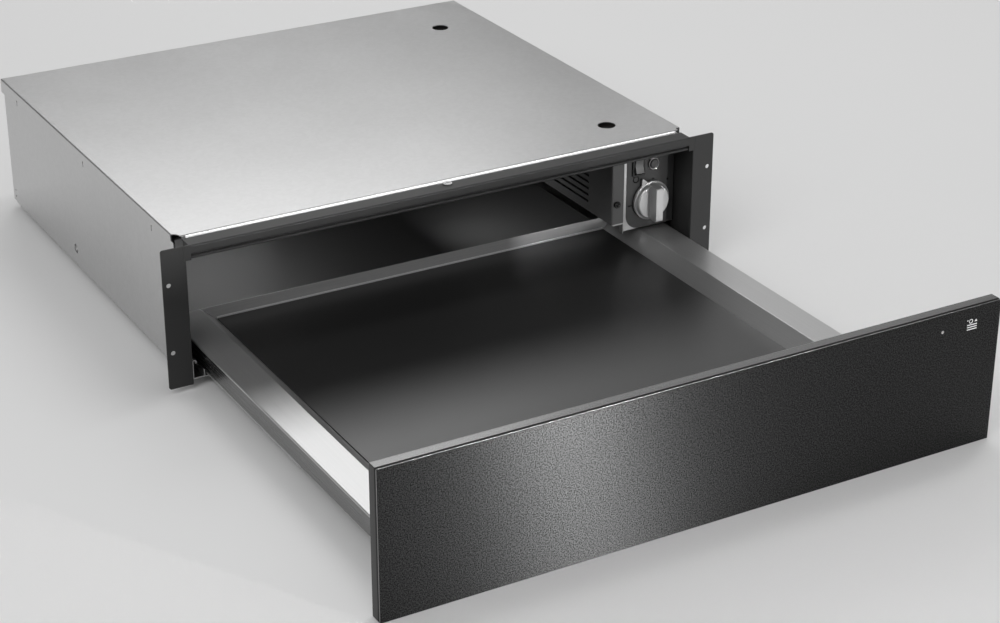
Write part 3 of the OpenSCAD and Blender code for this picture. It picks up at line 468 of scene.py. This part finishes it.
@finish
def dark_foil(look):
    """Dark satin foil of the control plate."""
    coat = Finish("dark_foil", grey(0.23), 0.26)
    clouds = coat.noise(24.0, 2.0)
    coat.shade(clouds, 0.92, 1.08)
    coat.set("Roughness", 0.22 + clouds * 0.08)
    coat.relief(coat.noise(1300.0, 1.0), 0.000004)
    return coat


@finish
def gloss_plastic(look):
    """Glossy black plastic of the switch's and the lamp's rims."""
    coat = Finish("gloss_plastic", grey(0.12), 0.2)
    clouds = coat.noise(60.0, 2.0)
    coat.shade(clouds, 0.85, 1.15)
    coat.set("Roughness", 0.16 + clouds * 0.08)
    return coat


@finish
def black_oxide(look):
    """Blackened steel of the partition's screw."""
    coat = Finish("black_oxide", grey(0.3), 0.2, 1.0)
    clouds = coat.noise(400.0, 2.0)
    coat.shade(clouds, 0.7, 1.3)
    coat.set("Roughness", 0.14 + clouds * 0.12)
    return coat


@finish
def smoked_lens(look):
    """Dark clear plastic of the pilot lamp."""
    coat = Finish("smoked_lens", grey(0.2), 0.12, Coat_Weight=0.6)
    haze = coat.noise(300.0, 2.0)
    coat.shade(haze, 0.8, 1.25)
    coat.set("Roughness", 0.08 + haze * 0.08)
    return coat


@finish
def pale_print(look):
    """Pale printed marks of the front."""
    ink = Finish("pale_print", grey(0.8), 0.5)
    ink.shade(ink.noise(3000.0, 1.0), 0.9, 1.05)
    return ink


@finish
def dark_print(look):
    """Dark printed marks of the control plate."""
    ink = Finish("dark_print", grey(0.02), 0.7, Specular_IOR_Level=0.05)
    ink.shade(ink.noise(3000.0, 1.0), 0.8, 1.2)
    return ink


@finish
def black_plastic(look):
    """Moulded black plastic with a spark-eroded grain."""
    coat = Finish("black_plastic", grey(0.1), 0.5)
    grain = coat.noise(1500.0, 2.0)
    coat.shade(coat.noise(30.0, 2.0), 0.85, 1.15)
    coat.set("Roughness", 0.44 + grain * 0.12)
    coat.relief(grain, 0.00003)
    return coat


@finish
def switch_plastic(look):
    """Smooth dark grey plastic of the rocker."""
    coat = Finish("switch_plastic", grey(0.31), 0.32)
    grain = coat.noise(1200.0, 2.0)
    coat.shade(coat.noise(60.0, 2.0), 0.92, 1.08)
    coat.set("Roughness", 0.34 + grain * 0.08)
    coat.relief(grain, 0.00001)
    return coat


@finish
def knob_plastic(look):
    """Pale silk plastic of the knob."""
    coat = Finish("knob_plastic", look.knob, 0.34, 0.8)
    grain = coat.noise(1400.0, 2.0)
    coat.shade(coat.noise(50.0, 2.0), 0.95, 1.04)
    coat.set("Roughness", 0.3 + grain * 0.08)
    coat.relief(grain, 0.000012)
    return coat


@finish
def pale_plastic(look):
    """Pale technical plastic of the thermostat and the terminals."""
    coat = Finish("pale_plastic", grey(0.84, 0.01), 0.46)
    grain = coat.noise(900.0, 2.0)
    coat.shade(coat.noise(40.0, 2.0), 0.92, 1.05)
    coat.set("Roughness", 0.42 + grain * 0.1)
    return coat


@finish
def soft_rubber(look):
    """Grey rubber of the buffers and plunger tips."""
    coat = Finish("soft_rubber", grey(0.55), 0.6)
    grain = coat.noise(1600.0, 2.0)
    coat.shade(coat.noise(80.0, 2.0), 0.9, 1.08)
    coat.set("Roughness", 0.55 + grain * 0.12)
    coat.relief(grain, 0.00002)
    return coat


@finish
def wool(look):
    """Pressed mineral wool with a dark glass tissue on it."""
    coat = Finish("wool", (0.05, 0.047, 0.042), 0.95)
    fibres = coat.noise(420.0, 5.0, (1.0, 1.0, 0.3))
    coat.shade(fibres, 0.6, 1.2)
    coat.relief(fibres, 0.0006)
    return coat


@finish
def lamp_lens(look):
    """Milky lens of the indicator lamp."""
    coat = Finish("lamp_lens", grey(0.62, 0.01), 0.25, Coat_Weight=0.4)
    coat.shade(coat.noise(240.0, 2.0), 0.85, 1.1)
    return coat


@finish
def hot_tube(look):
    """Heat-tinted tube of the heating element."""
    coat = Finish("hot_tube", grey(0.36, 0.02), 0.45, 0.8)
    tint = coat.noise(60.0, 3.0)
    coat.set("Base Color", coat.blend(tint, grey(0.28, 0.015), grey(0.46, 0.035)))
    coat.set("Roughness", 0.38 + tint * 0.15)
    return coat


@finish
def cage_brass(look):
    """Yellow-passivated strip and balls."""
    coat = Finish("cage_brass", (0.55, 0.45, 0.24), 0.3, 1.0)
    clouds = coat.noise(120.0, 3.0)
    coat.shade(clouds, 0.8, 1.12)
    coat.set("Roughness", 0.22 + clouds * 0.14)
    return coat


@finish
def motor_alloy(look):
    """Bare cast and pressed metal of the fan motor."""
    coat = Finish("motor_alloy", grey(0.66), 0.45, 1.0)
    grain = coat.noise(700.0, 3.0)
    coat.shade(grain, 0.85, 1.08)
    coat.set("Roughness", 0.4 + grain * 0.12)
    coat.relief(grain, 0.00002)
    return coat


def wear(material, *names):
    """Gives CAD nodes a finish."""
    for name in names:
        node = frame["nodes"][name]
        node.data.materials.clear()
        node.data.materials.append(material)


def both(name):
    """A node's left and right names."""
    return name + "_left", name + "_right"


# Pieces made here


def activate(*pieces):
    """Selects these objects alone, the last one active."""
    bpy.ops.object.select_all(action="DESELECT")
    for piece in pieces:
        piece.select_set(True)
    bpy.context.view_layer.objects.active = pieces[-1]


def eased(name, width, material, shortest=0.0):
    """A CAD node's shape with its sharp edges eased, shown in the node's place.

    Edges shorter than the shortest, in millimetres, stay sharp.
    """
    node = frame["nodes"][name]
    piece = bpy.data.objects.new(name + "_eased", node.data.copy())
    bpy.context.scene.collection.objects.link(piece)
    activate(piece)
    bpy.ops.object.mode_set(mode="EDIT")
    bpy.ops.mesh.select_mode(type="EDGE")
    bpy.ops.mesh.select_all(action="SELECT")
    bpy.ops.mesh.remove_doubles(threshold=WELD * MM)
    bpy.ops.mesh.dissolve_limited(angle_limit=math.radians(FLAT_ANGLE))
    bpy.ops.mesh.select_all(action="DESELECT")
    bpy.ops.mesh.edges_select_sharp(sharpness=math.radians(EASED_ANGLE))
    bpy.ops.object.mode_set(mode="OBJECT")
    points = piece.data.vertices
    for edge in piece.data.edges:
        first, second = (points[i].co for i in edge.vertices)
        if edge.select and (first - second).length < shortest * MM:
            edge.select = False
    bpy.ops.object.mode_set(mode="EDIT")
    bpy.ops.mesh.bevel(offset=width * MM, segments=2, clamp_overlap=False, loop_slide=False)
    bpy.ops.object.mode_set(mode="OBJECT")
    bpy.ops.object.shade_smooth_by_angle(angle=math.radians(SMOOTH_ANGLE))
    bpy.ops.object.modifier_add(type="WEIGHTED_NORMAL")
    piece.modifiers[-1].keep_sharp = True
    bpy.ops.object.modifier_apply(modifier=piece.modifiers[-1].name)
    piece.data.materials.clear()
    piece.data.materials.append(material)
    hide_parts(name)
    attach(piece, node["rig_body"])
    return piece


def thicken(depth):
    """Draws the selected faces out to the front, in millimetres, and leaves edit mode."""
    bpy.ops.mesh.extrude_region_move(
        TRANSFORM_OT_translate={"value": (0.0, -depth * MM, 0.0)})
    bpy.ops.mesh.select_all(action="SELECT")
    bpy.ops.mesh.normals_make_consistent(inside=False)
    bpy.ops.object.mode_set(mode="OBJECT")


def mark(corners, place, size, rim=0.0):
    """One raised printed mark that faces the front: a bar, a triangle, a dot or a ring."""
    bpy.ops.object.select_all(action="DESELECT")
    start = {"location": [value * MM for value in place], "rotation": FACING_FRONT}
    if corners == 4:
        bpy.ops.mesh.primitive_plane_add(size=1.0, **start)
    else:
        bpy.ops.mesh.primitive_circle_add(
            vertices=corners, radius=0.5, fill_type="NGON", **start)
    shape = bpy.context.object
    shape.scale = (size[0] * MM, size[1] * MM, MM)
    bpy.ops.object.transform_apply(location=True, rotation=True, scale=True)
    bpy.ops.object.mode_set(mode="EDIT")
    bpy.ops.mesh.select_mode(type="FACE")
    bpy.ops.mesh.select_all(action="SELECT")
    if rim:
        bpy.ops.mesh.inset(thickness=rim * MM)
        bpy.ops.mesh.delete(type="FACE")
        bpy.ops.mesh.select_all(action="SELECT")
    thicken(PRINT_THICKNESS)
    return shape


def pick(piece, wanted):
    """Enters edit mode with only the wanted points selected."""
    bpy.ops.object.mode_set(mode="EDIT")
    bpy.ops.mesh.select_mode(type="VERT")
    bpy.ops.mesh.select_all(action="DESELECT")
    bpy.ops.object.mode_set(mode="OBJECT")
    for point in piece.data.vertices:
        point.select = wanted(point.co)
    bpy.ops.object.mode_set(mode="EDIT")


def strip_blank(name, place, size):
    """A long strip in the making, in edit mode with its upper front edge selected."""
    bpy.ops.object.select_all(action="DESELECT")
    bpy.ops.mesh.primitive_cube_add(size=1.0, location=[value * MM for value in place])
    strip = bpy.context.object
    strip.name = name
    strip.scale = [value * MM for value in size]
    bpy.ops.object.transform_apply(location=True, rotation=True, scale=True)
    pick(strip, lambda p: p.y < place[1] * MM and p.z > place[2] * MM)
    return strip


def dress(piece, material, body, crease):
    """Leaves edit mode, smooths the piece and gives it its finish and body."""
    bpy.ops.object.mode_set(mode="OBJECT")
    bpy.ops.object.shade_smooth_by_angle(angle=math.radians(crease))
    piece.data.materials.append(material)
    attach(piece, body)


def printed(name, shapes, material, body):
    """Joins marks into one printed piece."""
    activate(*shapes)
    bpy.ops.object.join()
    piece = bpy.context.object
    piece.name = name
    bpy.context.scene.cursor.location = (0.0, 0.0, 0.0)
    bpy.ops.object.origin_set(type="ORIGIN_CURSOR")
    piece.data.materials.clear()
    piece.data.materials.append(material)
    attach(piece, body)


# The stage


class WARMER_OT_stage(bpy.types.Operator):
    """Set up the floor, the soft lamps and the camera"""

    bl_idname = "warmer.stage"
    bl_label = "Stage"

    def execute(self, context):
        stage = context.scene.warmer_stage
        self.floor(stage)
        self.world(context.scene, stage)
        self.lamps(stage)
        self.camera(context.scene, stage)
        context.scene.view_settings.view_transform = "Standard"
        return {"FINISHED"}

    def floor(self, stage):
        """A pale floor just below the lowest point of the part."""
        gap = 0.2
        bpy.ops.object.select_all(action="DESELECT")
        bpy.ops.mesh.primitive_plane_add(size=30.0, location=(0.0, 0.0, cad_box[0].z - gap * MM))
        floor = bpy.context.object
        floor.name = "floor"
        bpy.ops.object.transform_apply(location=True)
        paper = Finish("floor_paper", stage.floor_colour, 0.9)
        paper.shade(paper.noise(2.0, 2.0), 0.99, 1.01)
        floor.data.materials.append(paper.material)

    def world(self, scene, stage):
        """A pale backdrop for what is seen and mirrored, an even fill for what is lit."""
        world = bpy.data.worlds.new("studio")
        world.use_nodes = True
        scene.world = world
        nodes = world.node_tree.nodes
        links = world.node_tree.links
        ray = nodes.new("ShaderNodeLightPath")
        seen = nodes.new("ShaderNodeMath")
        seen.operation = "MAXIMUM"
        links.new(ray.outputs["Is Camera Ray"], seen.inputs[0])
        links.new(ray.outputs["Is Glossy Ray"], seen.inputs[1])
        also = nodes.new("ShaderNodeMath")
        also.operation = "MAXIMUM"
        links.new(seen.outputs[0], also.inputs[0])
        links.new(ray.outputs["Is Transmission Ray"], also.inputs[1])
        heading = nodes.new("ShaderNodeTexCoord")
        parts = nodes.new("ShaderNodeSeparateXYZ")
        links.new(heading.outputs["Generated"], parts.inputs[0])
        wall = nodes.new("ShaderNodeMapRange")
        wall.interpolation_type = "SMOOTHSTEP"
        links.new(parts.outputs["Z"], wall.inputs[0])
        wall_top, ceiling_start = 0.02, 0.16
        for name, value in (("From Min", wall_top), ("From Max", ceiling_start),
                            ("To Min", stage.backdrop), ("To Max", stage.ceiling)):
            wall.inputs[name].default_value = value
        strength = nodes.new("ShaderNodeMapRange")
        links.new(also.outputs[0], strength.inputs[0])
        strength.inputs["To Min"].default_value = stage.fill
        links.new(wall.outputs[0], strength.inputs["To Max"])
        links.new(strength.outputs[0], nodes["Background"].inputs["Strength"])
        nodes["Background"].inputs["Color"].default_value = (1.0, 1.0, 1.0, 1.0)

    def lamp(self, name, place, target, width, height, power):
        """An area lamp that points at its target."""
        data = bpy.data.lights.new(name, "AREA")
        data.shape = "RECTANGLE"
        data.size = width
        data.size_y = height
        data.energy = power
        lamp = bpy.data.objects.new(name, data)
        aim = Vector(target) - Vector(place)
        lamp.matrix_world = (Matrix.Translation(place)
                             @ aim.to_track_quat("-Z", "Y").to_matrix().to_4x4())
        bpy.context.scene.collection.objects.link(lamp)
        return lamp

    def lamps(self, stage):
        """Each lamp with its place, its target, and its width and height in metres."""
        self.lamp("key", (-2.2, -1.8, 2.4), (0.0, -0.2, 0.0), 1.8, 1.8, stage.key_power)
        self.lamp("back", (1.0, 2.6, 2.35), (-0.1, -0.2, 0.1), 1.5, 1.5, stage.back_power)
        self.lamp("side", (2.2, 2.0, 1.75), (0.1, -0.3, 0.05), 1.0, 1.3, stage.side_power)
        self.lamp("top", (1.06, -0.1, 2.3), (0.0, -0.3, 0.1), 0.35, 1.3, stage.top_power)
        strip = self.lamp("strip", (1.42, -3.7, 0.22), (-0.1, -0.69, 0.06), 0.16, 0.42,
                          stage.strip_power)
        left = self.lamp("cavity_left", (-0.19, -0.06, 0.108), (-0.19, -0.06, 0.0), 0.08, 0.2,
                         stage.cavity_power)
        right_share = 0.4
        right = self.lamp("cavity_right", (0.1, -0.1, 0.1), (0.2, -0.1, 0.06), 0.02, 0.1,
                          stage.cavity_power * right_share)
        strip.data.spread = math.radians(30.0)
        strip.visible_camera = False
        for lamp in (left, right):
            lamp.visible_camera = False
            lamp.visible_glossy = False

    def camera(self, scene, stage):
        """The camera at the photograph's viewing angle."""
        data = bpy.data.cameras.new("camera")
        data.lens = stage.focal_length
        data.sensor_width = 36.0
        data.clip_start = 0.05
        data.clip_end = 50.0
        camera = bpy.data.objects.new("camera", data)
        camera.location = stage.camera_place
        camera.rotation_euler = stage.camera_turn
        scene.collection.objects.link(camera)
        scene.camera = camera


# The object's pieces


class WARMER_OT_casing(bpy.types.Operator):
    """Finish the sheet casing and its lining"""

    bl_idname = "warmer.casing"
    bl_label = "Casing"

    def execute(self, context):
        look = context.scene.warmer_look
        wear(zinc_sheet(look), "top_cover", "base_plate", "back_panel", *both("side_panel"))
        wear(plated_steel(look), "casing_screws", "rail_screw", "runner_rivets")
        self.lip(look)
        wear(cavity_enamel(look), "cavity_floor", "cavity_ceiling")
        wear(wool(look), "wool_pad")
        wear(frame_paint(look), "top_rail")
        for name in both("frame_upright"):
            eased(name, 0.25, frame_paint(look), 2.0)
        return {"FINISHED"}

    def lip(self, look):
        """The bright sloped strip in the step in front of the top cover."""
        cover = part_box("top_cover")[1]
        panel_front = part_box("side_panel_left")[0].y
        end_gap, forward, below = 11.0, 2.75, 1.2
        deep, high, slope_drop, edge = 2.6, 1.75, 1.53, 0.05
        wide = 2 * (cover.x / MM - end_gap)
        place = (0.0, panel_front / MM - forward, cover.z / MM - below)
        lip = strip_blank("cover_lip", place, (wide, deep, high))
        bpy.ops.transform.translate(value=(0.0, 0.0, -slope_drop * MM))
        bpy.ops.mesh.select_all(action="SELECT")
        bpy.ops.mesh.bevel(offset=edge * MM, segments=2, clamp_overlap=False)
        # The strip's brighter finish is a painted highlight; its slope also catches the lamps
        dress(lip, painted_highlight_bend(look), "casing", 20.0)


class WARMER_OT_controls(bpy.types.Operator):
    """Finish the partition, the controls and the heater behind them"""

    bl_idname = "warmer.controls"
    bl_label = "Controls"

    def execute(self, context):
        look = context.scene.warmer_look
        wear(partition_coating(look), "partition")
        wear(black_plastic(look), "thermal_cutout", "cable_gland")
        eased("control_plate", 0.2, zinc_sheet(look))
        eased("rocker_housing", 0.35, gloss_plastic(look))
        eased("rocker", 0.3, switch_plastic(look))
        eased("lamp_body", 0.3, gloss_plastic(look))
        eased("lamp_lens", 0.2, smoked_lens(look))
        eased("partition_screw", 0.25, black_oxide(look))
        eased("knob", 0.3, knob_plastic(look))
        self.foil(look)
        self.lamp_ring(look)
        self.marks(look)
        wear(pale_plastic(look), "thermostat", "terminal_block")
        wear(plated_steel(look), "thermostat_shaft")
        wear(zinc_sheet(look), "fan_scroll", "fan_wheel")
        wear(motor_alloy(look), "fan_motor")
        wear(hot_tube(look), "heating_element")
        return {"FINISHED"}

    def plate_face(self):
        """The place of the control plate's front along Y, in millimetres."""
        rim_height = 1.8
        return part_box("rocker_housing")[0].y / MM + rim_height

    def foil(self, look):
        """The plate's dark foil, with one rounded corner and openings for what passes it."""
        left, right, low, high = 212.4, 268.6, 35.1, 116.0
        corner, near = 16.0, 1.0
        face = self.plate_face()
        bpy.ops.object.select_all(action="DESELECT")
        bpy.ops.mesh.primitive_plane_add(
            size=1.0, rotation=FACING_FRONT,
            location=((left + right) / 2 * MM, face * MM, (low + high) / 2 * MM))
        foil = bpy.context.object
        foil.name = "control_foil"
        foil.scale = ((right - left) * MM, (high - low) * MM, MM)
        bpy.ops.object.transform_apply(location=True, rotation=True, scale=True)
        pick(foil, lambda p: p.x < (left + near) * MM and p.z < (low + near) * MM)
        bpy.ops.mesh.bevel(offset=corner * MM, segments=12, affect="VERTICES")
        bpy.ops.mesh.select_all(action="SELECT")
        thicken(FOIL_THICKNESS)
        shaft_hole, shaft_height, play = 9.6, 63.8, 0.1
        for name in ("knob", "lamp_body", "rocker_housing"):
            start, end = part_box(name)
            middle = ((start.x + end.x) / 2, face * MM, (start.z + end.z) / 2)
            wide = end.x - start.x + 2 * play * MM
            if name == "knob":
                self.pierce(foil, (middle[0], middle[1], shaft_height * MM), shaft_hole * MM)
            elif name == "lamp_body":
                self.pierce(foil, middle, wide)
            else:
                self.pierce(foil, middle, wide, end.z - start.z + 2 * play * MM)
        foil.data.materials.clear()
        foil.data.materials.append(dark_foil(look))
        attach(foil, "casing")

    def pierce(self, foil, middle, wide, high=None):
        """Cuts an opening into the foil: a round one, or a square one where it has a height."""
        deep = 2 * MM
        bpy.ops.object.select_all(action="DESELECT")
        if high:
            bpy.ops.mesh.primitive_cube_add(size=1.0, location=middle)
            cutter = bpy.context.object
            cutter.scale = (wide, deep, high)
        else:
            bpy.ops.mesh.primitive_cylinder_add(
                vertices=48, radius=wide / 2, depth=deep, location=middle, rotation=FACING_FRONT)
            cutter = bpy.context.object
        activate(foil)
        bpy.ops.object.modifier_add(type="BOOLEAN")
        foil.modifiers[-1].operation = "DIFFERENCE"
        foil.modifiers[-1].object = cutter
        bpy.ops.object.modifier_apply(modifier=foil.modifiers[-1].name)
        activate(cutter)
        bpy.ops.object.delete()

    def lamp_ring(self, look):
        """The bright ring round the pilot lamp's lens."""
        inset, thickness = 1.2, 0.9
        low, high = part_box("lamp_body")
        middle = ((low.x + high.x) / 2, low.y, (low.z + high.z) / 2)
        bpy.ops.object.select_all(action="DESELECT")
        bpy.ops.mesh.primitive_torus_add(
            location=middle, rotation=FACING_FRONT, major_segments=48, minor_segments=10,
            major_radius=(high.x - low.x) / 2 - inset * MM, minor_radius=thickness / 2 * MM)
        ring = bpy.context.object
        ring.name = "lamp_ring"
        bpy.ops.object.transform_apply(location=True, rotation=True, scale=True)
        bpy.ops.object.shade_smooth()
        ring.data.materials.append(plated_steel(look))
        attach(ring, "casing")

    def marks(self, look):
        """The scale's marks round the knob: a plain ring for off, two dots and a tick."""
        y = self.plate_face() - FOIL_THICKNESS
        shapes = [mark(32, (223.7, y, 88.4), (7.4, 7.4), rim=1.1),
                  mark(24, (244.1, y, 85.7), (2.0, 2.0)),
                  mark(24, (261.4, y, 81.8), (2.4, 2.4)),
                  mark(4, (217.0, y, 61.1), (4.5, 1.1))]
        printed("knob_marks", shapes, dark_print(look), "casing")


class WARMER_OT_runners(bpy.types.Operator):
    """Finish the runners, their balls and the push-to-open latches"""

    bl_idname = "warmer.runners"
    bl_label = "Runners"

    def execute(self, context):
        look = context.scene.warmer_look
        for name in ("runner_fixed", "runner_middle", "runner_drawer"):
            wear(runner_steel(look), *both(name))
        wear(cage_brass(look), *both("rear_balls"), *both("front_balls"))
        wear(black_plastic(look), *both("push_latch"))
        wear(soft_rubber(look), *both("push_plunger"))
        return {"FINISHED"}


class WARMER_OT_drawer(bpy.types.Operator):
    """Finish the drawer's chassis, tray, rims and mat"""

    bl_idname = "warmer.drawer"
    bl_label = "Drawer"

    def execute(self, context):
        look = context.scene.warmer_look
        wear(chassis_steel(look), "drawer_chassis")
        wear(drawer_steel(look), "tray_floor")
        for name in both("rim"):
            eased(name, 0.2, rim_steel(look))
        eased("tray_back", 0.15, tray_back_steel(look))
        eased("mat", 0.7, mat_rubber(look))
        self.fold(look)
        return {"FINISHED"}

    def fold(self, look):
        """The rounded inner fold where the tray's floor turns up into its back."""
        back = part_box("tray_back")[0].y / MM
        wide, top = 2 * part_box("mat")[1].x / MM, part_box("mat")[1].z / MM
        deep, high, above = 1.1, 2.0, 0.3
        hollow, hollow_share = 0.12, 0.95
        fold = strip_blank("tray_fold", (0.0, back - deep / 2, top + above), (wide, deep, high))
        bpy.ops.mesh.bevel(offset=deep * hollow_share * MM, segments=6, profile=hollow,
                           clamp_overlap=False)
        # The fold's pale finish is a painted highlight line
        dress(fold, painted_fold_highlight(look), "drawer", 30.0)


class WARMER_OT_front(bpy.types.Operator):
    """Finish the front panel"""

    bl_idname = "warmer.front"
    bl_label = "Front panel"

    def execute(self, context):
        look = context.scene.warmer_look
        straight, leaning, painted_shade_end = 0.98, 0.2, 0.9
        sheet = eased("front_sheet", 0.32, front_steel(look))
        # Painted highlight: the eased edges round the front take bright steel
        sheet.data.materials.append(painted_edge_highlight(look))
        # Painted shade, partly a dark-sealed edge: the sheet's top, bottom and end faces and its
        # back take black
        sheet.data.materials.append(black_plastic(look))
        for side in sheet.data.polygons:
            if -straight < side.normal.y < -leaning:
                side.material_index = 1
            elif side.normal.y > -leaning:
                side.material_index = 2
        holder = eased("panel_frame", 0.9, lit_panel_paint(look))
        # Painted shadow: the frame's front faces and front eased edges take black, a dark line
        # round the sheet
        holder.data.materials.append(black_plastic(look))
        # Painted shade: the frame's ends take the darker frame paint, a shaded copy of the same
        # coating
        holder.data.materials.append(frame_paint(look))
        for side in holder.data.polygons:
            if side.normal.y < -leaning:
                side.material_index = 1
            elif abs(side.normal.x) > painted_shade_end:
                side.material_index = 2
        self.marks(look)
        wear(black_plastic(look), "panel_joint")
        wear(plated_steel(look), "panel_screws")
        wear(soft_rubber(look), "panel_bumpers")
        wear(lamp_lens(look), "indicator_lens")
        return {"FINISHED"}

    def marks(self, look):
        """A plain sign at the right end: three bars, a triangle and a ring above them."""
        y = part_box("front_sheet")[0].y / MM
        lowest, pitch = 105.6, 2.15
        shapes = [mark(4, (267.9, y, lowest + pitch * i), (10.6, 0.95)) for i in range(3)]
        shapes.append(mark(3, (271.8, y, 112.9), (3.6, 3.2)))
        shapes.append(mark(32, (266.4, y, 113.2), (4.2, 4.2), rim=0.7))
        shapes.append(mark(24, (262.9, y, 114.3), (1.2, 1.2)))
        printed("front_marks", shapes, pale_print(look), "drawer")


STEPS = (WARMER_OT_stage, WARMER_OT_casing, WARMER_OT_controls, WARMER_OT_runners,
         WARMER_OT_drawer, WARMER_OT_front)


class WARMER_PT_sidebar(bpy.types.Panel):
    """Lists the steps that finish the warming drawer"""

    bl_idname = "WARMER_PT_sidebar"
    bl_label = "Warming Drawer"
    bl_space_type = "VIEW_3D"
    bl_region_type = "UI"
    bl_category = "Warming Drawer"

    def draw(self, context):
        for step in STEPS:
            self.layout.operator(step.bl_idname)


CLASSES = (StageSettings, FinishSettings) + STEPS + (WARMER_PT_sidebar,)


def register():
    for item in CLASSES:
        bpy.utils.register_class(item)
    bpy.types.Scene.warmer_stage = bpy.props.PointerProperty(type=StageSettings)
    bpy.types.Scene.warmer_look = bpy.props.PointerProperty(type=FinishSettings)


def unregister():
    del bpy.types.Scene.warmer_look
    del bpy.types.Scene.warmer_stage
    for item in reversed(CLASSES):
        bpy.utils.unregister_class(item)


def main():
    register()
    for step in STEPS:
        group, name = step.bl_idname.split(".")
        getattr(getattr(bpy.ops, group), name)()


if __name__ == "__main__":
    main()
